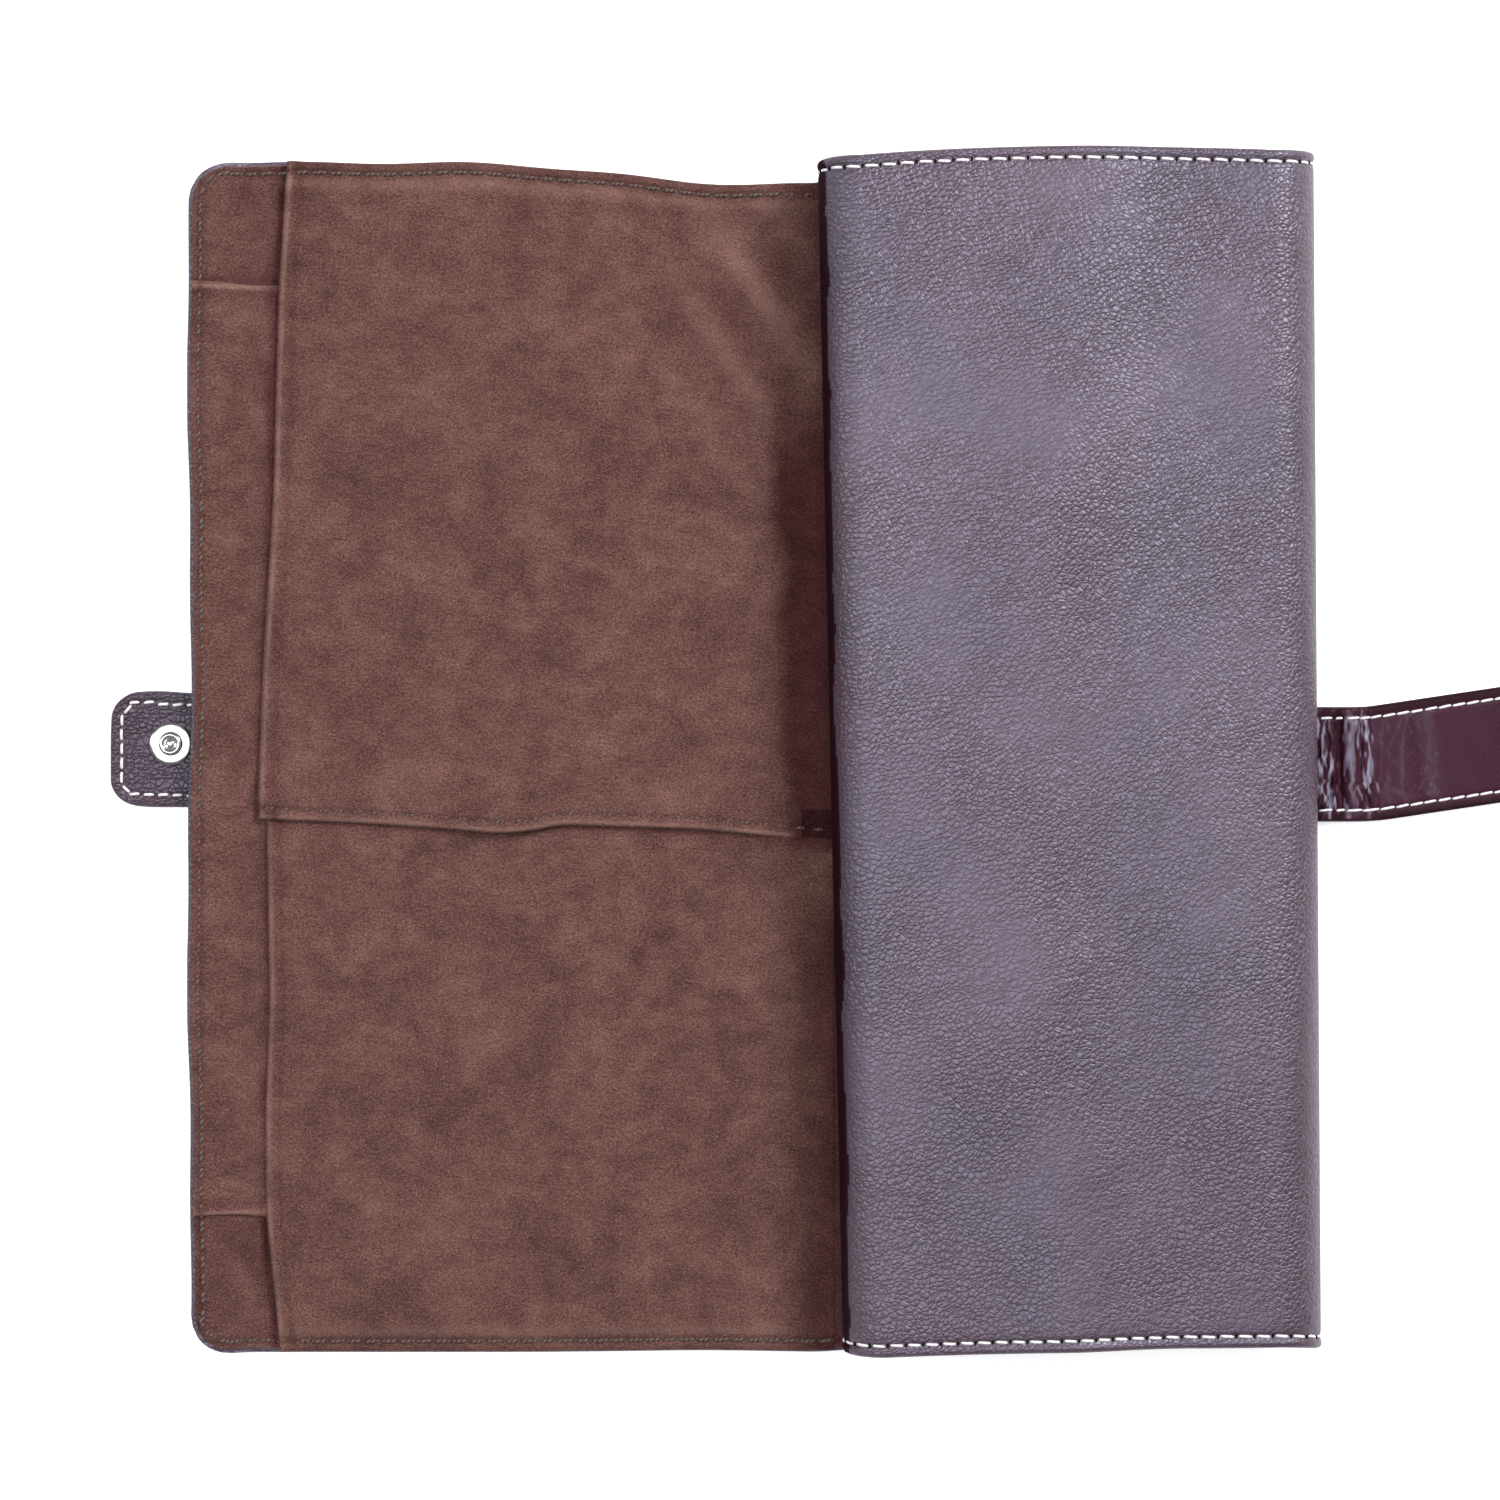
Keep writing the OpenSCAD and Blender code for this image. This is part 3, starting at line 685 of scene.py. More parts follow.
fine_for = {"panel": (2.2, 2.6), "base": (4.0, 4.0), "top": (1.6, 2.0), "tail": (3.0, 4.0)}
for name, s0, s1, how in CHAIN:
    first, last = name == "panel", name == "tail"
    free = "bt" + ("l" if first else "") + ("r" if last else "")
    coarse = fine_for.get(name, (0.55 if name[:5] != "close" else 1.2, 2.4))
    left = left_edge(0.0) if first else const(s0)
    ob = slab(f"{name}_leather", left, const(s1), y_bot, y_top, leather_lo, const(1.74), free=free, rim=0.45, low_rim=1.0,
              coarse=coarse, nap=fold_shade)
    nodes = [f"leather_{name}"] if name in ("panel", "base", "top", "tail") else ([NODE_OF[name]] if name in NODE_OF else [])
    attach(ob, LEATHER, "leather", how, nodes)
    if name[:4] == "left":
        # the painted-shade band along the roll's edge gets a copy of the leather without its shine, so that it shows no
        # reflection
        ob.data.materials.append(FOLD_SHADE_LEATHER)
        painted_shade_values = np.empty(len(ob.data.vertices), np.float32)
        ob.data.attributes["nap"].data.foreach_get("value", painted_shade_values)
        ob.data.polygons.foreach_set("material_index", [int(painted_shade_values[list(f.vertices)].mean() < -0.45) for f in ob.data.polygons])

    def lining_top(s, y, d):
        edge = np.minimum(np.minimum(y_top(s) - y, y - y_bot(s)), s + 90.0 * (path(s)[0] > -60))
        soft = 0.16 * fbm(s / 13 + 5, y / 13, 3, 2)
        if not is_panel:
            return 2.62 + soft
        return 2.62 + soft - 0.30 * bell(edge, DARK_IN, 0.8) + 0.22 * bell(edge, 1.5, 0.8) + 0.25 * bell(edge, 6.0, 2.0)
    is_panel = first
    inl = 1.05 if first else 0.75
    left = left_edge(inl) if first else const(s0)
    right = const(s1 - 0.8) if last else const(s1)
    ob = slab(f"{name}_lining", left, right, lambda s, i=inl: y_bot(s) + i, lambda s, i=inl: y_top(s) - i, const(1.78), lining_top,
              free=free, rim=0.42, coarse=coarse, nap=lining_shade)
    attach(ob, SUEDE, "suede", how, [f"lining_{name}"] if name in ("panel", "base", "top", "tail") else [])
    if name in ("panel", "base", "top", "tail"):
        a = s0 + (7 if first else 0.3)
        b = s1 - (6 if last else 0.3)
        ob = slab(f"{name}_padding", const(a), const(b), lambda s: y_bot(s) + 7, lambda s: y_top(s) - 7, const(0.7), const(1.6),
                  free="lrbt", rim=0.3, coarse=(6, 8), fine=1.0, zone=2)
        attach(ob, FELT, "padding", how, [f"padding_{name}"])


# ---------------------------------------------------------------- stitches
def stitch_mesh(items, place, radius, lift, sink, sides=8, rings=9):
    """One mesh of many stitches. items: rows of (s, y, length along s, length along y, surface height, outward sign)."""
    verts, faces, uvs = [], [], []
    base = 0
    t = np.linspace(-1, 1, rings)
    ph = np.linspace(0, 2 * math.pi, sides, endpoint=False)
    for (s, y, ls, ly, h, sign, wob) in items:
        n = math.hypot(ls, ly)
        us, uy = ls / n, ly / n
        taper = np.sqrt(np.maximum(1 - np.abs(t) ** 3.2, 0.02))
        rr = radius * (0.55 + 0.45 * taper)
        hh = h + sign * (lift * (1 - t * t) - sink * np.abs(t) ** 3)
        cs = s + us * n / 2 * t - uy * wob * (t ** 2 - 0.4)
        cy = y + uy * n / 2 * t + us * wob * (t ** 2 - 0.4) + 0.12 * t
        S = cs[:, None] - uy * rr[:, None] * np.cos(ph)[None, :]
        Y = cy[:, None] + us * rr[:, None] * np.cos(ph)[None, :]
        Hh = hh[:, None] + 0.85 * rr[:, None] * np.sin(ph)[None, :]
        p = place(S, Y, Hh).reshape(-1, 3)
        ends = place(np.array([cs[0], cs[-1]]), np.array([cy[0], cy[-1]]), np.array([hh[0], hh[-1]]) - sign * 0.1)
        verts.append(np.concatenate([p, ends]))
        uvs.append(np.concatenate([np.stack([S, Y], -1).reshape(-1, 2) / 100,
                                   np.array([[cs[0], cy[0]], [cs[-1], cy[-1]]]) / 100]))
        i = np.arange(rings * sides).reshape(rings, sides) + base
        j = np.roll(i, -1, axis=1)
        f = np.stack([i[:-1], j[:-1], j[1:], i[1:]], -1).reshape(-1, 4)
        faces += [tuple(x) for x in f]
        e0, e1 = base + rings * sides, base + rings * sides + 1
        faces += [(e0, int(j[0, k]), int(i[0, k])) for k in range(sides)]
        faces += [(e1, int(i[-1, k]), int(j[-1, k])) for k in range(sides)]
        base += rings * sides + 2
    return np.concatenate(verts), faces, np.concatenate(uvs)


def stitch_object(name, items, place=surf, radius=0.34, lift=0.16, sink=0.42):
    v, f, uv = stitch_mesh(items, place, radius, lift, sink)
    me = bpy.data.meshes.new(name)
    me.from_pydata([tuple(p) for p in W(v)], [], [tuple(int(i) for i in q) for q in f])
    layer = me.uv_layers.new(name="flatmap")
    idx = np.empty(len(me.loops), np.int32)
    me.loops.foreach_get("vertex_index", idx)
    layer.data.foreach_set("uv", uv[idx].astype(np.float32).reshape(-1))
    me.polygons.foreach_set("use_smooth", [True] * len(me.polygons))
    me.update()
    ob = bpy.data.objects.new(name, me)
    bpy.context.scene.collection.objects.link(ob)
    return ob


def in_range(items, a, b):
    return [i for i in items if a <= i[0] < b]


rng = np.random.RandomState(7)
PITCH = 4.17
contrast = []
for side in (0, 1):
    s = S_R[0] - 4 - PITCH * int((S_R[0] - 4 - CORNER - 2) / PITCH)
    while s < S_END - 3:
        ss = np.array([s])
        y = float(y_top(ss)[0] - STITCH_IN) if side else float(y_bot(ss)[0] + STITCH_IN)
        slope = (y_top if side else y_bot)(np.array([s + 1.0]))[0] - (y_top if side else y_bot)(np.array([s - 1.0]))[0]
        ln = 3.55 + 0.25 * (rng.rand() - 0.5)
        h = float(leather_lo(ss, np.array([y]), 0)[0])
        contrast.append((s, y + 0.10 * (rng.rand() - 0.5), ln, ln * slope / 2, h, -1.0, 0.10 * (rng.rand() - 0.5)))
        s += PITCH
_oe = left_edge(STITCH_IN)
for y in np.arange(-144.7 + CORNER + 1, 141.2 - CORNER - 1, PITCH):
    s = float(_oe(np.array([y]))[0])
    contrast.append((s, float(y), 0.02, 3.5, -HALF + 0.10, -1.0, 0.0))
for yc, sg in ((141.2 - CORNER, 1), (-144.7 + CORNER, -1)):
    for k in range(3):
        a = math.radians(18 + 28 * k)
        r = CORNER - STITCH_IN
        contrast.append((CORNER - r * math.cos(a) + 0.5, yc + sg * r * math.sin(a), 3.3 * math.sin(a), sg * 3.3 * math.cos(a), -HALF + 0.10, -1.0, 0.0))
# a near-black mark between each pair of contrast stitches, painted shade of the needle holes
holes = [(s + PITCH / 2, y, 0.02, 1.05, h, -1.0, 0.0) for (s, y, ls, ly, h, sign, wob) in contrast if s > S_R[0] - 5]
for name, s0, s1, how in CHAIN:
    part = in_range(holes, s0, s1)
    if part:
        ob = stitch_object(f"{name}_needle_holes", part, radius=0.27, lift=0.04, sink=0.04)
        attach(ob, HOLE_SHADE, "leather", how)
for name, s0, s1, how in CHAIN:
    part = in_range(contrast, s0, s1)
    if part:
        ob = stitch_object(f"{name}_contrast_stitches", part)
        attach(ob, WHITE_THREAD, "white_thread", how, ["top_thread"] if name == "top" else [])

# dark thread round the open panel


def inner_h(s, y):
    return 2.62 + 0.16 * float(fbm(np.array([s / 13 + 5]), np.array([y / 13]), 3, 2)[0])


def flap_cover_h(s, y):
    """Height of the uppermost layer of suede near the edge seam."""
    x = float(path(np.array([s]))[0][0])
    h = inner_h(s, y)
    if y > 130 and x > -110:
        k = 1 - float(sstep((x - 1) / 11))
        return h + 0.95 * k + 0.20 * (1 - k)
    if y < -135 and x > -112:
        return h + 0.95
    if abs(y) < 112 and x < -125:
        return h + 0.85
    return h


dark = []
_le = left_edge(DARK_IN)
ys = np.arange(-144.7 + CORNER, 141.2 - CORNER, 4.2)
for y in ys:
    dark.append((float(_le(np.array([y]))[0]), y, 0.02, 3.5, None))
for yc, sg in ((141.2 - CORNER, 1), (-144.7 + CORNER, -1)):
    for k in range(3):
        a = math.radians(15 + 30 * k)
        r = CORNER - DARK_IN
        dark.append((CORNER - r * math.cos(a) + 0.5, yc + sg * r * math.sin(a), 3.4 * math.sin(a), sg * 3.4 * math.cos(a), None))
for side in (0, 1):
    s = CORNER + 1.5
    while s < s_of_x(20):
        ss = np.array([s])
        f = y_top if side else y_bot
        y = float(f(ss)[0]) + (-DARK_IN if side else DARK_IN)
        slope = float(f(np.array([s + 1.0]))[0] - f(np.array([s - 1.0]))[0]) / 2
        dark.append((s, y, 3.5, 3.5 * slope, None))
        s += 4.2
dark = [(s, y, ls, ly, flap_cover_h(s, y) - 0.20 - 0.12 * float(sstep((path(s)[0] - 1) / 9)), 1.0, 0.08 * (rng.rand() - 0.5))
        for (s, y, ls, ly, _) in dark]
for name, s0, s1, how in CHAIN:
    part = in_range(dark, s0, s1)
    if part:
        ob = stitch_object(f"{name}_seam_stitches", part, radius=0.38, lift=0.22, sink=0.16)
        attach(ob, DARK_THREAD, "dark_thread", how, ["panel_thread"] if name == "panel" else [])

# ---------------------------------------------------------------- flaps
FLAP_END = float(s_of_x(20.5))


def x_to_s(f, extra=0.0):
    return lambda y: s_of_x(f(y) + extra)


def ripples(s, y):
    """Soft wrinkles of the upper flap, in mm upwards."""
    x = path(s)[0]
    u = (x + 8) * 0.82 + (y - 92) * 0.57        # across the diagonal wrinkles by the roll
    r = 0.55 * np.sin(u * 0.42) * bell(x, 4, 26) * bell(y, 104, 34)
    r = r + 0.45 * fbm(x / 24 + 2, y / 30, 21, 2)
    r = r + 0.22 * fbm(x / 9, y / 9, 23, 2)
    return r


def valley(s, y):
    """The suede dips where it goes under the roll."""
    x = path(s)[0]
    return -0.9 * bell(x, 13, 9)


def up_edge(s, y):
    """Height of the folded edge of the upper flap: a soft ridge along its hem and its side."""
    x = path(s)[0]
    hem = y - up_hem(x)
    side = x - up_left(y)
    return 0.42 * bell(hem, 1.1, 1.0) + 0.42 * bell(side, 1.2, 1.1) * (hem > -2)


def full(s):
    """One on the panel, falling to nothing where the suede goes under the roll."""
    return 1 - sstep((path(s)[0] - 1) / 11)


def up_hi(s, y, d):
    return 2.86 + (up_body(s, y, d) - 2.86) * full(s)


def up_body(s, y, d):
    x = path(s)[0]
    over = 1 - sstep((y + 12) / 9)
    e_under = 1 - sstep((x + 109) / 3)
    hem = y - up_hem(x)
    lift = 1.7 * bell(x, -58, 13) * (1 - sstep(hem / 16)) + 0.7 * bell(x, -20, 16) * (1 - sstep(hem / 12))
    groove = -0.30 * bell(hem, 2.7, 0.6)
    edge = y_top(s) - y
    seam = -0.42 * bell(edge, DARK_IN, 0.8) + 0.30 * bell(edge, 1.6, 0.8) + 0.45 * bell(edge, 6.2, 2.2)
    return (3.42 + 0.85 * over + 0.72 * e_under + lift + groove + up_edge(s, y) + seam
            + 0.8 * (ripples(s, y) + 0.25) * sstep(hem / 8) * sstep(edge / 9) + valley(s, y) * 0.5)


def low_edge(s, y):
    x = path(s)[0]
    return 0.34 * bell(x - low_left(y), 1.2, 1.1)


def low_hi(s, y, d):
    x = path(s)[0]
    e_under = 1 - sstep((x + 109) / 3)
    side = x - low_left(y)
    fold = -0.18 * bell(side, 3.2, 0.6)
    edge = y - y_bot(s)
    seam = -0.42 * bell(edge, DARK_IN, 0.8) + 0.25 * bell(edge, 1.6, 0.8) + 0.40 * bell(edge, 6.2, 2.2)
    tuck = -0.35 * (1 - sstep((-14.8 - y) / 8))
    wav = 0.5 * fbm(x / 26 + 9, y / 34, 31, 2) + 0.2 * fbm(x / 10, y / 10, 33, 2)
    crease = -0.35 * bell(x + (y + 60) * 0.05, 6, 5)
    return 2.86 + full(s) * (0.54) + full(s) * (0.72 * e_under + fold + low_edge(s, y) + seam + tuck + 0.8 * (wav + 0.2) * sstep(edge / 9) + crease + valley(s, y) * 0.4)


# Painted light and shade on the upper flap: painted highlights along its folded side edge and hem, painted shade beside
# them, a darker line along the top seam, light and shade across the diagonal wrinkles, and the roll's painted shadow.
def up_painted_light(s, y, d):
    x = path(s)[0]
    hem, side, top = y - up_hem(x), x - up_left(y), y_top(s) - y
    rough = 0.75 + 0.9 * fbm(y / 5, x / 5, 92, 3)
    light = (0.66 * bell(side, 1.0, 0.55) + 0.56 * bell(hem, 0.8, 0.5)) * rough + 0.26 * bell(top, 5.6, 1.3)
    dark = 0.45 * bell(top, 2.9, 0.8) + 0.30 * bell(top, 0.6, 1.0) + 0.35 * bell(hem, 2.8, 0.6) + 0.3 * bell(side, 3.6, 1.2)
    u = (x + 8) * 0.82 + (y - 92) * 0.57
    folds = 0.30 * np.sin(u * 0.42) * bell(x, 0, 22) * bell(y, 104, 30)
    return light * (1 - 0.75 * roll_shade(s, y)) - dark + folds - roll_shade(s, y)


# Painted light and shade on the lower flap: a painted highlight along its folded side edge, painted shade beside it and
# under the upper flap's hem, a darker line along the bottom seam, and the roll's painted shadow.
def low_painted_light(s, y, d):
    x = path(s)[0]
    hem, side, bot = up_hem(x) - y, x - low_left(y), y - y_bot(s)
    light = 0.5 * bell(side, 0.9, 0.55) * (0.75 + 0.9 * fbm(y / 5, x / 5, 93, 3)) + 0.22 * bell(bot, 5.4, 1.3)
    dark = 0.40 * bell(bot, 2.9, 0.8) + 0.30 * bell(bot, 0.6, 1.0) + 0.25 * bell(side, 3.3, 0.6) + 0.5 * bell(hem, 0.3, 1.3)
    return light * (1 - roll_shade(s, y)) - dark - roll_shade(s, y)


def thick(hi, t, edge=None):
    return lambda s, y, d: hi(s, y, d) - (t + (0 if edge is None else edge(s, y)) - 0.20) * full(s) - 0.20


def cross(a, b, d0, d1):
    """Points for a blend over the crease from a to b: d0 and d1 mm from it, on the corner's side."""
    ux, uy = b[0] - a[0], b[1] - a[1]
    n = math.hypot(ux, uy)
    ux, uy = ux / n, uy / n
    mx, my = (a[0] + b[0]) / 2, (a[1] + b[1]) / 2
    # the corner lies towards -X of the crease
    px, py = (uy, -ux) if uy < 0 else (-uy, ux)
    return V(mx + px * d0, my + py * d0, 5), V(mx + px * d1, my + py * d1, 5)


D0, D1 = (-111.4, 134.8), (-16.0, -18.9)
E0, E1 = (-113.0, -138.7), (-26.3, -14.8)


def flap_pieces(prefix, left, yb, yt, hi, edge, nap, t, corner_body, crease, corner_node, sewn_node, free_sides):
    made = []
    for k, (name, s0, s1, how) in enumerate(CHAIN[:5]):
        a = s0
        b = min(s1, FLAP_END)
        if b <= a + 0.3:
            continue
        first, last = k == 0, b == FLAP_END
        free = free_sides + ("l" if first else "") + ("r" if last else "")
        ob = slab(f"{prefix}_{name}", left if first else const(a), const(b), yb, yt, thick(hi, t, edge), hi, free=free,
                  rim=0.46, coarse=(1.6 if first else 1.0, 1.8), fine=0.3, zone=6.0, nap=nap)
        if first:
            how = ("panel", corner_body, *cross(*crease, 3.0, 10.5))
        attach(ob, SUEDE, "suede", how, [corner_node, sewn_node] if first else [])
        made.append(ob)
    return made


upper = flap_pieces("upper_flap", x_to_s(up_left), lambda s: up_hem(path(s)[0]), lambda s: y_top(s) - 0.3, up_hi, up_edge, up_painted_light, 0.95,
                    "upper_corner", (D0, D1), "upper_flap_corner", "upper_flap_sewn", "bt")
lower = flap_pieces("lower_flap", x_to_s(low_left), lambda s: y_bot(s) + 0.5, const(-13.6), low_hi, low_edge, low_painted_light, 0.80,
                    "lower_corner", (E0, E1), "lower_flap_corner", "lower_flap_sewn", "bt")


def end_hi(s, y, d):
    x = path(s)[0]
    edge = np.minimum(111.7 - y, y + 111.6)
    return 3.42 + 0.45 * bell(edge, 1.3, 1.3) + 0.35 * (fbm(x / 12 + 4, y / 22, 41, 2) + 0.2)


# Painted light and shade on the end flap: painted highlights along its edges, painted shade beside them, where it goes
# under the upper and lower flaps and beside their edges, and a darker line along the left seam.
def end_painted_light(s, y, d):
    x = path(s)[0]
    edge = np.minimum(111.7 - y, y + 111.6)
    under = sstep((x + 117.5 + 0.6 * fbm(y / 9, 0 * y, 91, 2) * 4) / 3.5)
    left = bell(s, DARK_IN + 0.5, 0.9)
    under = under + 0.7 * (bell(x - up_left(y), -0.9, 1.0) * (y > -17) + bell(x - low_left(y), -0.9, 1.0) * (y <= -17))
    return 0.6 * bell(edge, 0.8, 0.7) - 0.3 * bell(edge, 3.0, 1.0) - 0.55 * under - 0.4 * left


end_ob = slab("end_flap_suede", lambda y: left_edge(1.0)(y), lambda y: s_of_x(-109.7) + 0 * y, lambda s: -111.6 + 0.5 * np.sin(s * 0.2),
              lambda s: 111.7 + 0.4 * np.sin(s * 0.2 + 1), lambda s, y, d: end_hi(s, y, d) - 0.75, end_hi, free="lrbt", rim=0.36,
              coarse=(1.2, 2.0), fine=0.3, nap=end_painted_light)
attach(end_ob, SUEDE, "suede", ("panel", "end_flap", V(-131.4, 0, 6), V(-128.6, 0, 6)), ["end_flap"])

# hem stitches of the upper flap, 2.7 mm inside its edge
hem = []
x = -115.2
while x < 18.5:
    s = float(s_of_x(x))
    y = float(up_hem(x)) + 2.7
    slope = (float(up_hem(x + 1)) - float(up_hem(x - 1))) / 2
    h = float(up_hi(np.array([s]), np.array([y]), 0)[0])
    hem.append((s, y, 2.7, 2.7 * slope, h - 0.08, 1.0, 0.06 * (rng.rand() - 0.5)))
    x += 4.25
for k, (name, s0, s1, how) in enumerate(CHAIN[:5]):
    part = in_range(hem, s0, s1)
    if part:
        ob = stitch_object(f"upper_hem_stitches_{name}", part, radius=0.30, lift=0.14, sink=0.26)
        if k == 0:
            how = ("panel", "upper_corner", *cross(D0, D1, 3.0, 10.5))
        attach(ob, DARK_THREAD, "dark_thread", how, ["hem_thread"] if k == 0 else [])

# bands that hold the watch straps, under the flaps
for r, y0 in enumerate((-66, 66)):
    for k in range(3):
        a, b = float(s_of_x(-104 + 29 * k)), float(s_of_x(-76 + 29 * k))
        ob = slab(f"watch_band_{r}_{k}", const(a), const(b), const(y0 - 7), const(y0 + 7), const(2.5),
                  lambda s, y, d, a=a, b=b: 2.95 + 0.42 * np.sin(np.clip((s - a) / (b - a), 0, 1) * math.pi) ** 0.6,
                  free="lrbt", rim=0.2, coarse=(1.2, 1.2), fine=0.4, zone=2)
        attach(ob, ELASTIC, "elastic", "panel", ["watch_bands"])

# ---------------------------------------------------------------- tab
TAB = dict(x0=-153.9, x1=-128.2, y0=-13.7, y1=14.2, r=6.2)


def flat(s, y, h):
    s, y, h = np.broadcast_arrays(np.asarray(s, float), y, h)
    return np.stack([s, y, h], -1)


def tab_left(i):
    def f(y):
        r = TAB["r"] - i
        d = np.clip(np.minimum(TAB["y1"] - i - y, y - TAB["y0"] - i), 0, r)
        bow = 0.9 * (1 - ((y - 0.2) / 14) ** 2)
        return TAB["x0"] + i + r - np.sqrt(np.maximum(r * r - (r - d) ** 2, 0)) + 0.6 * (y > 0) * (y / 14) ** 2 + 0 * bow
    return f


def tab_y(which, i):
    def f(s):
        u = (s - TAB["x0"]) / (TAB["x1"] - TAB["x0"])
        if which:
            return TAB["y1"] - i - 0.9 * (1 - sstep(u * 2.4)) * 0.6 - 0.5 * sstep((u - 0.45) * 3)
        return TAB["y0"] + i + 0.7 * (1 - sstep(u * 2.4)) - 0.1 * u
    return f


def tab_hi(s, y, d):
    groove = -0.30 * bell(d, 2.75, 0.65)
    pillow = 0.10 * bell(d, 1.2, 0.6)
    dish = -0.22 * bell(np.hypot(s + 139.2, y - 1.5), 5.2, 1.5)
    return 2.15 + groove + pillow + dish + 0.10 * fbm(s / 6, y / 6, 51, 2)


ob = slab("tab_front_leather", tab_left(0.15), const(TAB["x1"]), tab_y(0, 0.15), tab_y(1, 0.15), const(1.12), tab_hi, free="lbt", rim=0.5,
          low_rim=0.12, coarse=(0.5, 0.5), fine=0.3, place=flat)
attach(ob, TAB_LEATHER, "leather", "panel", ["tab_front"])
ob = slab("tab_back_leather", tab_left(0.0), const(TAB["x1"]), tab_y(0, 0.0), tab_y(1, 0.0), const(0.02), const(1.08), free="lbt", rim=0.14,
          low_rim=0.5, coarse=(0.8, 0.8), fine=0.35, place=flat)
attach(ob, TAB_LEATHER, "strap_leather", "panel", ["tab_back"])

tab_path = []
_yl0, _yl1 = TAB["y0"] + 2.75, TAB["y1"] - 2.75
_xl = TAB["x0"] + 2.85
tab_path += [((-134.2 - 3.45 * k), _yl1 - 0.5 * (k < 3), 2.75, 0.06) for k in range(5)]
for y in np.arange(_yl0 + 4.3, _yl1 - 3.0, 3.45):
    tab_path.append((_xl + 0.1 * math.sin(y), y, 0.02, 2.75))
tab_path.append((_xl + 1.5, _yl1 - 1.6, 1.95, 1.95))
tab_path.append((_xl + 1.1, _yl0 + 1.6, 1.95, -1.95))
tab_path += [((-134.2 - 3.45 * k), _yl0 + 0.1 * k, 2.75, -0.1) for k in range(5)]
items = []
for (xx, yy, ls, ly) in tab_path:
    items.append((xx, yy + 0.15 * (rng.rand() - 0.5), ls, ly + 0.25 * (rng.rand() - 0.5), 1.92, 1.0, 0.12 * (rng.rand() - 0.5)))
ob = stitch_object("tab_stitches", items, place=flat, radius=0.36, lift=0.16, sink=0.40)
attach(ob, WHITE_THREAD, "white_thread", "panel", ["tab_thread"])


# ---------------------------------------------------------------- turned metal
def lathe(name, profile, cx, cy, z0, turn=0.0, n=64, place=None, flip=False):
    prof = np.array(profile, float)
    ph = np.linspace(0, 2 * math.pi, n, endpoint=False)
    r, z = prof[:, 0], prof[:, 1]
    x = cx + r[:, None] * np.cos(ph)
    y = cy + r[:, None] * np.sin(ph)
    zz = z0 + z[:, None] + 0 * ph
    verts = np.stack([x, y, zz], -1).reshape(-1, 3)
    m = len(prof)
    i = np.arange(m * n).reshape(m, n)
    j = np.roll(i, -1, axis=1)
    faces = [tuple(q) for q in np.stack([i[:-1], j[:-1], j[1:], i[1:]], -1).reshape(-1, 4)]
    verts = np.concatenate([verts, [[cx, cy, z0 + z[0]], [cx, cy, z0 + z[-1]]]])
    a, b = m * n, m * n + 1
    faces += [(a, int(j[0, k]), int(i[0, k])) for k in range(n)]
    faces += [(b, int(i[-1, k]), int(j[-1, k])) for k in range(n)]
    ob = new_mesh(name, verts, faces, None, sharp=38)
    return ob


stud_profile = [(0.2, 0.0), (4.9, 0.0), (5.1, 0.12), (5.08, 0.3), (4.85, 0.46), (4.4, 0.56), (3.3, 0.60), (2.9, 0.58),
                (2.55, 0.50), (2.42, 0.42), (2.32, 0.52), (2.28, 0.9), (2.5, 1.05), (2.62, 1.22), (2.6, 1.42), (2.42, 1.58),
                (2.15, 1.64), (1.85, 1.58), (1.6, 1.4), (1.5, 1.1), (1.42, 0.8), (1.1, 0.72), (0.95, 0.86), (0.75, 1.02),
                (0.4, 1.12), (0.1, 1.14)]
ob = lathe("snap_stud_metal", stud_profile, -139.2, 1.5, 2.12)
attach(ob, METAL, "metal", "panel", ["snap_stud"])
cap_profile = [(0.1, 0.47), (2.2, 0.47), (2.9, 0.42), (3.08, 0.3), (3.05, 0.14), (2.6, 0.04), (1.4, 0.0), (0.1, 0.0)][::-1]
ob = lathe("stud_cap_metal", cap_profile, -139.2, 1.5, 0.0)
attach(ob, METAL, "metal", "panel", ["stud_cap"])

# ---------------------------------------------------------------- strap
STRAP_Y, TURN_X, TURN = -3.44, 149.0, math.radians(8.5)
SOCK_S = TURN_X + 37.4
STRAP_END = TURN_X + 48.0
SW = 13.8

_ss = np.arange(90, 230, 0.2)
_ta = TURN * sstep((_ss - (TURN_X - 5)) / 10)
_cx = 90 + np.concatenate([[0], np.cumsum(np.cos((_ta[1:] + _ta[:-1]) / 2) * 0.2)])
_cy = STRAP_Y + np.concatenate([[0], np.cumsum(np.sin((_ta[1:] + _ta[:-1]) / 2) * 0.2)])


def ridged(a, b, seed):
    return (1 - np.abs(2 * vnoise(a, b, seed))) ** 3


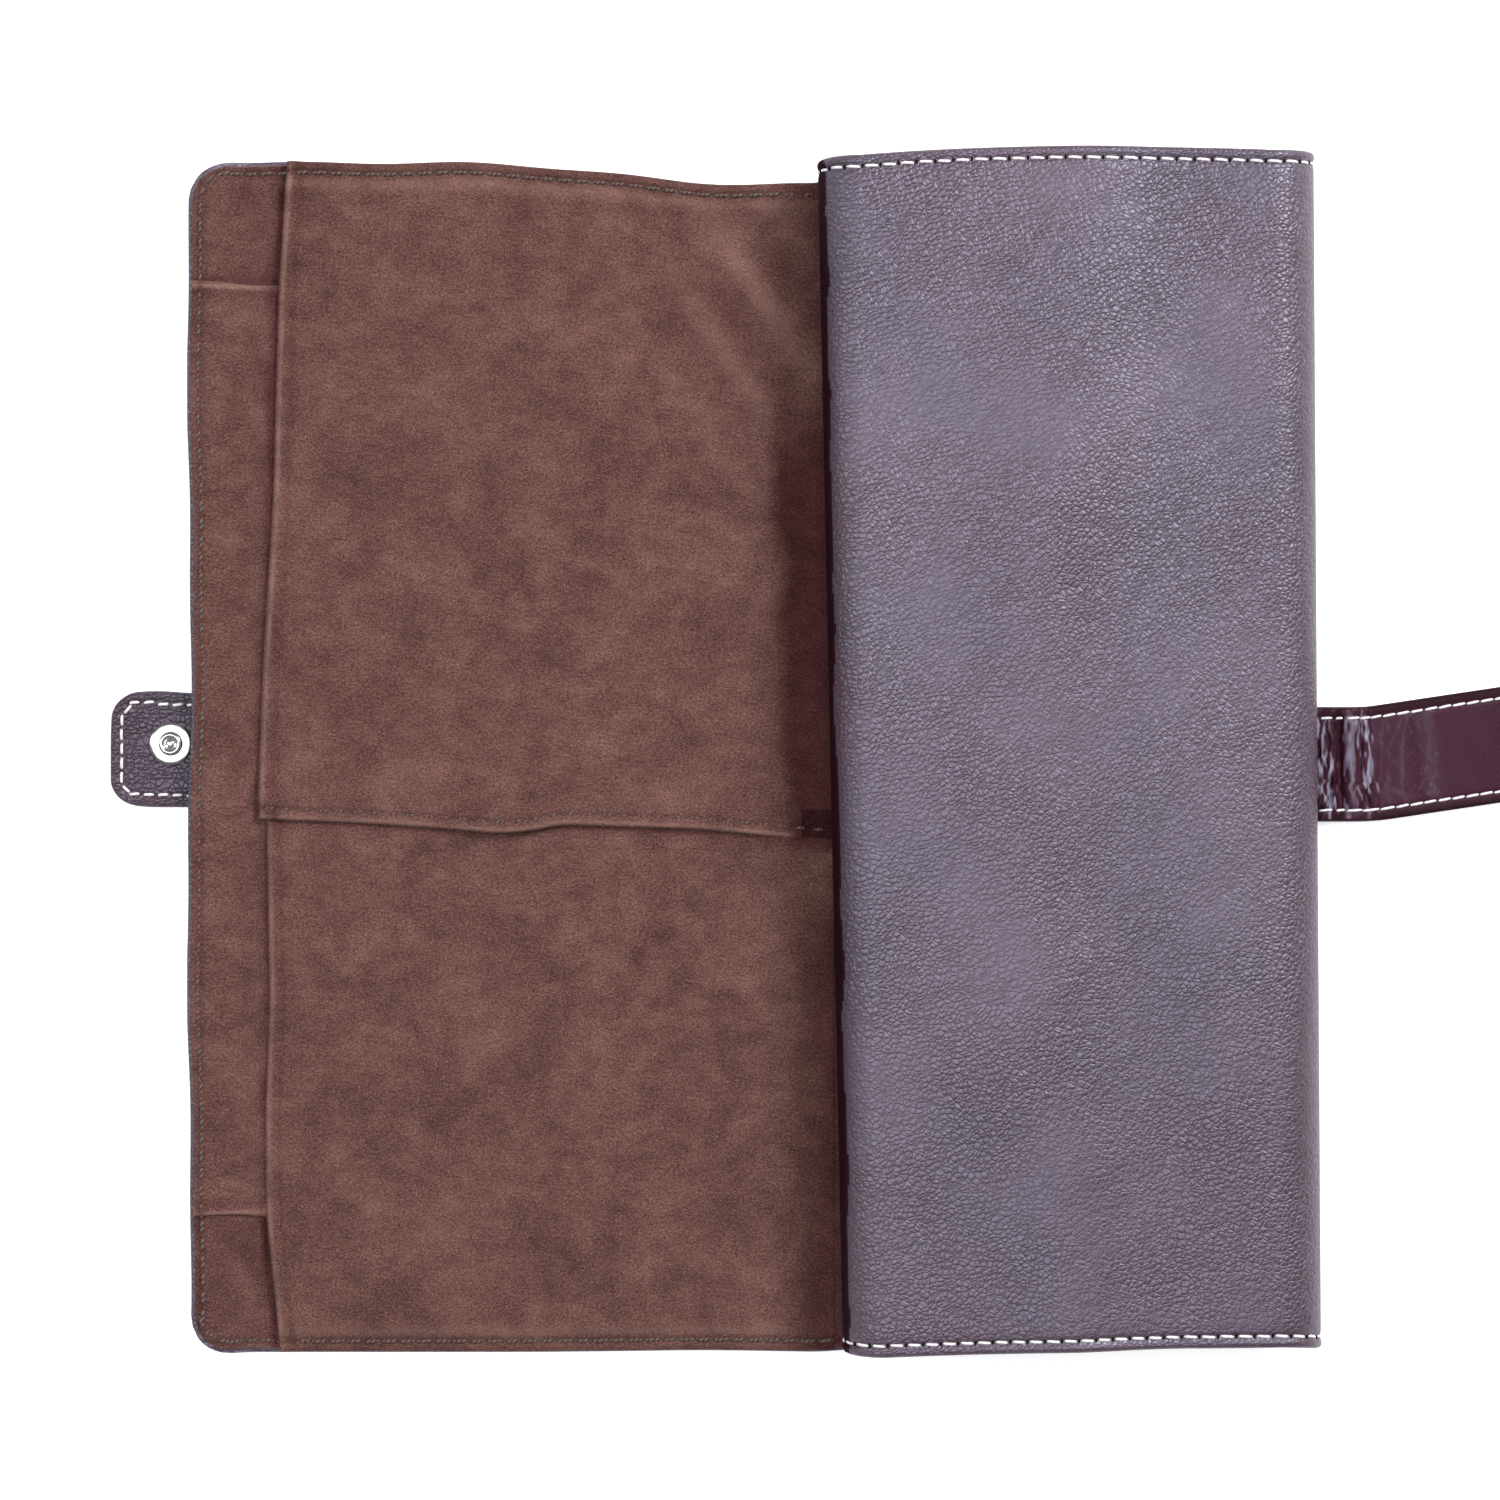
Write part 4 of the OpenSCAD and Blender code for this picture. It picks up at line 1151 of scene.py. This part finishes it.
def strap_creases(s, v):
    w = np.clip(v / SW, -1, 1)
    z = 0.0
    # sharp accordion creases by the roll, which wander and meet
    wander = 1.6 * fbm(v / 5.5, 0 * v, 61, 3)
    m1 = sstep((s - 133.6) / 1.2) * (1 - sstep((s - 140.6) / 1.0))
    z = z + m1 * (0.95 * ridged((s + wander) / 2.1, v / 11 + 0.5, 62) + 0.45 * ridged((s - 0.8 * wander) / 0.95, v / 5, 63) - 0.25)
    z = z - 0.85 * bell(s + 0.7 * wander, 141.7, 0.8)
    # broad bright bump
    z = z + 1.0 * bell(s + 0.7 * wander, 144.6, 1.8) * (1 - 0.3 * w * w)
    m2 = sstep((s - 146.0) / 0.8) * (1 - sstep((s - 149.6) / 1.4))
    z = z + m2 * (0.75 * ridged((s + wander * 0.8 - 0.12 * v) / 1.7, v / 9 + 3.1, 65) - 0.25)
    # a few thin slanting creases further out
    z = z - 0.10 * bell(s, 161.2 + 0.3 * w, 1.6) + 0.16 * bell(s, 164.2 + 0.3 * np.sin(v * 0.3), 1.2)
    z = z + 0.05 * fbm(s / 7, v / 7, 70, 2)
    return z


SPREAD = 4.6


def strap_painted_light(s, v, d):
    """Painted highlights on the tops of the creases and the broad bump, painted shade in their folds, and a darker band
    along the edges.
    """
    inner = sstep((SW - np.abs(v) - 0.2) / 0.6)
    wander = 1.6 * fbm(v / 5.5, 0 * v, 61, 3)
    near = 1 - sstep((s - 149.6 - 1.6 * wander) / 1.8)
    streak = 0.6 * vnoise((s + 1.3 * wander) / 0.72, v / 4.2 + 0.25 * s, 62) + 0.4 * vnoise((s - 1.1 * wander) / 0.42, v / 2.2, 63)
    a = s + 0.7 * wander
    bulge = bell(a, 144.6, 1.55)
    tone = np.clip(streak * SPREAD - 0.08, -1, 0.9) * (1 - 0.85 * bulge)
    tone = tone + bulge * (0.42 + 0.35 * vnoise((s + wander) / 0.5, v / 3.0, 64)) * (1 - 0.55 * (v / SW) ** 2)
    tone = (tone - 0.95 * bell(a, 141.7, 0.8) - 0.7 * bell(a, 146.9, 0.45)) * near
    tone = tone - 0.35 * near * (1 - near)
    # painted highlights on thin slanting creases further out
    far = sstep((s - 149.5) / 2) * (1 - sstep((s - 163) / 4))
    thin = ridged((s + 0.45 * v + 2 * wander) / 1.5, v / 16, 66) ** 6 + ridged((s - 0.25 * v + wander) / 1.2, v / 14, 67) ** 6
    tone = tone + far * 0.11 * np.clip(thin, 0, 1)
    tone = tone + 0.085 * bell(s, 164.6 + 0.3 * np.sin(v * 0.3), 1.5) * (1 - 0.6 * (v / SW) ** 2) * (0.6 + 0.8 * fbm(s * 1.2, v / 2.5, 72, 2))
    rim = (0.68 * (1 - sstep((SW - np.abs(v) - 1.9) / 0.5)) + 0.45 * bell(SW - np.abs(v), 0.1, 0.6)) * (1 - 0.6 * near)
    return tone * inner * (0.75 + 0.5 * fbm(s * 1.7, v / 1.6, 71, 2)) - rim


def strap_place(s, v, h):
    s, v, h = np.broadcast_arrays(np.asarray(s, float), v, h)
    x, y = np.interp(s, _ss, _cx), np.interp(s, _ss, _cy)
    a = np.interp(s, _ss, _ta)
    return np.stack([x - np.sin(a) * v, y + np.cos(a) * v, h], -1)


def strap_hi(s, v, d):
    edge = SW - np.abs(v)
    groove = -0.26 * bell(edge, 2.75, 0.6)
    damp = 0.35 + 0.65 * sstep((edge - 1.5) / 3)
    near = 0.45 + 0.55 * sstep((s - 133.2) / 1.6)
    dish = -0.2 * bell(np.hypot(s - SOCK_S, v), 5.2, 1.5)
    return 2.12 + groove + 0.10 * bell(edge, 1.2, 0.6) + strap_creases(s, v) * damp * near + dish


def strap_lo(s, v, d):
    """The back of the strap, with its stitches sunk in and a line of them across the sewn end."""
    edge = SW - np.abs(v)
    line = np.maximum(bell(edge, 2.75, 0.7), bell(s, 98.75, 0.7) * (edge > 2))
    return 0.02 + 0.34 * line + 0.05 * (fbm(s / 5, v / 5, 75, 2) + 0.5)


STRAP_CUT = [96.0, 133.2, 142.2, 154.4, 165.4, STRAP_END + SW]
STRAP_HOW = ["roll_base",
             ("roll_base", "strap_bend", V(134.6, STRAP_Y, 1), V(141.2, STRAP_Y, 1)),
             ("strap_bend", "strap_middle", V(143.5, STRAP_Y, 1), V(153.2, STRAP_Y + 0.3, 1)),
             ("strap_middle", "strap_end", V(155.9, STRAP_Y + 1.0, 1), V(163.9, STRAP_Y + 2.2, 1)),
             "strap_end"]
STRAP_NODES = ["root", "bend", "turn", "end"]


def strap_right(i):
    def f(v):
        r = SW - i
        return STRAP_END + np.sqrt(np.maximum(r * r - np.clip(v, -r, r) ** 2, 0)) * (1.0)
    return f


for k in range(5):
    a, b = STRAP_CUT[k], STRAP_CUT[k + 1]
    last = k == 4
    nm = ["root", "bend", "turn", "crease", "end"][k]
    dense = (0.28, 0.55) if k in (1, 2) else (0.5, 0.7)
    if k == 0:
        dense = (2.0, 1.5)
    node = {0: "root", 1: "bend", 2: "turn", 4: "end"}.get(k)
    for layer_name, lo, hi, i, rim, low_rim in (("front", const(1.12), strap_hi, 0.12, 0.5, 0.12), ("back", strap_lo, const(1.08), 0.0, 0.12, 0.5)):
        if last:
            # the rounded end is mapped on its width, so that its rim follows the arc
            r = SW - i

            def vb(s, r=r, sg=-1):
                q = np.clip((s - STRAP_END) / r, 0, 0.999)
                return sg * r * np.sqrt(1 - q * q)
            ob = slab(f"strap_{nm}_{layer_name}", const(a), const(STRAP_END + r * 0.985), lambda s, r=r: -vb(s, r, 1), lambda s, r=r: vb(s, r, 1),
                      lo, hi, free="rbt", rim=rim, low_rim=low_rim, coarse=dense, fine=0.3, zone=4, place=strap_place,
                      nap=strap_painted_light if layer_name == "front" else None)
        else:
            ob = slab(f"strap_{nm}_{layer_name}", const(a), const(b), const(-SW + i), const(SW - i), lo, hi,
                      free="bt" + ("l" if k == 0 else ""), rim=rim, low_rim=low_rim, coarse=dense, fine=0.3, place=strap_place,
                      nap=strap_painted_light if layer_name == "front" else None)
        attach(ob, STRAP_LEATHER, "strap_leather", STRAP_HOW[k], [f"strap_{layer_name}_{node}"] if node else [])

strap_items = []
for sg in (-1, 1):
    s = STRAP_CUT[0] + 38.9
    while s < STRAP_END + 1:
        v = sg * (SW - 2.75)
        h = float(strap_hi(np.array([s]), np.array([v]), 0)[0])
        strap_items.append((s, v + 0.12 * (rng.rand() - 0.5), 3.35, 0.16 * (rng.rand() - 0.5), h, 1.0, 0.10 * (rng.rand() - 0.5)))
        s += 3.4
for v in np.arange(-9.0, 9.1, 3.6):
    strap_items.append((98.75, float(v), 0.02, 3.2, 1.6, 1.0, 0.0))
for sg in (-1, 1):
    for s in np.arange(99.6, 132.0, 3.55):
        strap_items.append((float(s), sg * (SW - 2.75), 3.2, 0.02, 1.6, 1.0, 0.0))
a = -66
while a <= 66:
    r = SW - 2.75
    t = math.radians(a)
    s, v = STRAP_END + r * math.cos(t), r * math.sin(t)
    strap_items.append((s, v, -3.0 * math.sin(t), 3.0 * math.cos(t), float(strap_hi(np.array([s]), np.array([v]), 0)[0]) - 0.1, 1.0, 0.0))
    a += 18.8
for k in range(5):
    part = in_range(strap_items, STRAP_CUT[k], STRAP_CUT[k + 1])
    if part:
        nm = ["root", "bend", "turn", "crease", "end"][k]
        back = [(s, v, ls, lv, 0.34, -1.0, w) for (s, v, ls, lv, h, sign, w) in part]
        ob = stitch_object(f"strap_{nm}_back_stitches", back, place=strap_place, radius=0.27, lift=0.10, sink=0.18)
        attach(ob, WHITE_THREAD, "white_thread", STRAP_HOW[k])
        ob = stitch_object(f"strap_{nm}_stitches", part, place=strap_place, radius=0.32, lift=0.16, sink=0.22)
        node = {1: "strap_thread_bend", 2: "strap_thread_turn", 4: "strap_thread_end"}.get(k)
        attach(ob, WHITE_THREAD, "white_thread", STRAP_HOW[k], [node] if node else [])

ob = slab("strap_patch_leather", const(96), const(122), const(STRAP_Y - 13.8), const(STRAP_Y + 13.8), const(2.25), const(3.98), free="lrbt",
          rim=0.3, coarse=(3, 3), fine=0.6, place=flat)
attach(ob, STRAP_LEATHER, "strap_leather", "roll_base", ["strap_patch"])

sp = strap_place(np.array([SOCK_S]), np.array([0.0]), np.array([0.0]))[0]
socket_profile = [(0.2, 0.0), (4.9, 0.0), (5.1, 0.12), (5.06, 0.32), (4.7, 0.46), (4.1, 0.52), (3.85, 0.62), (3.75, 0.9),
                  (3.62, 1.2), (3.4, 1.38), (3.1, 1.42), (2.9, 1.3), (2.84, 0.9), (2.8, 0.5), (2.4, 0.42), (1.4, 0.4), (1.2, 0.2), (0.2, 0.18)]
ob = lathe("snap_socket_metal", socket_profile, sp[0], sp[1], 2.14)
attach(ob, METAL, "metal", "strap_end", ["snap_socket"])
ob = lathe("socket_cap_metal", cap_profile, sp[0], sp[1], 0.0)
attach(ob, METAL, "metal", "strap_end", ["socket_cap"])

# ---------------------------------------------------------------- the flat cuts
# a strip narrower than 10 mm is part of the same cut as the piece before it
groups = []
for row in CUTS:
    if min(row[2], row[3]) < 0.0101 and groups:
        same = [g for g in groups if g[0][1] == row[1] and g[0][0].name.rsplit("_", 1)[-1] == row[0].name.rsplit("_", 1)[-1]]
        (same[-1] if same else groups[-1])[1].append(row[0])
    else:
        groups.append((row, []))
for (ob, slot, w, l, area), strips in groups:
    if slot == "elastic":
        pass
    elif any(k in ob.name for k in ("close", "left", "right", "bend", "turn", "crease")):
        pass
    else:
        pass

# ---------------------------------------------------------------- stage, camera, light
scene = bpy.context.scene
me = bpy.data.meshes.new("floor")
me.from_pydata([(-4, -4, -0.0002), (4, -4, -0.0002), (4, 4, -0.0002), (-4, 4, -0.0002)], [], [(0, 1, 2, 3)])
floor = bpy.data.objects.new("floor", me)
scene.collection.objects.link(floor)
fm = Mat("pale_floor")
fm.p.inputs["Emission Color"].default_value = (1, 1, 1, 1)
fm.p.inputs["Emission Strength"].default_value = 0.45
me.materials.append(fm.done((0.85, 0.85, 0.85), 0.9, spec=0.1))

CAM_D = 800.0
cam_data = bpy.data.cameras.new("camera")
cam = bpy.data.objects.new("camera", cam_data)
scene.collection.objects.link(cam)
cam.location = V(0, 0, CAM_D)
cam.rotation_euler = (0, 0, 0)
cam_data.sensor_fit = "HORIZONTAL"
cam_data.angle = 2 * math.atan(1500 / 4.15 / 2 / CAM_D)
cam_data.clip_start = 0.01
cam_data.clip_end = 20
scene.camera = cam


def area(name, loc, target, size, power, color=(1, 1, 1)):
    d = bpy.data.lights.new(name, "AREA")
    d.shape = "RECTANGLE"
    d.size, d.size_y = size
    d.energy = power
    d.color = color
    o = bpy.data.objects.new(name, d)
    scene.collection.objects.link(o)
    o.location = Vector(loc)
    o.rotation_euler = (Vector(target) - Vector(loc)).to_track_quat("-Z", "Y").to_euler()
    return o


# a broad soft sheet of light above, and a firmer one from the upper right
area("overhead", (-0.30, 0.02, 1.45), (-0.30, 0.0, 0), (1.24, 1.0), 15.5, (0.95, 0.96, 1.0))
area("key", (0.85, 0.75, 1.0), (0.0, 0.0, 0), (0.42, 0.42), 26.0, (1.0, 0.99, 0.97))
area("left_soft", (-1.25, 0.2, 1.0), (0, 0, 0), (0.40, 0.9), 7.0)
world = bpy.data.worlds.new("studio")
scene.world = world
world.use_nodes = True
world.node_tree.nodes["Background"].inputs[0].default_value = (1, 1, 1, 1)
world.node_tree.nodes["Background"].inputs[1].default_value = 0.30
scene.view_settings.view_transform = "Standard"
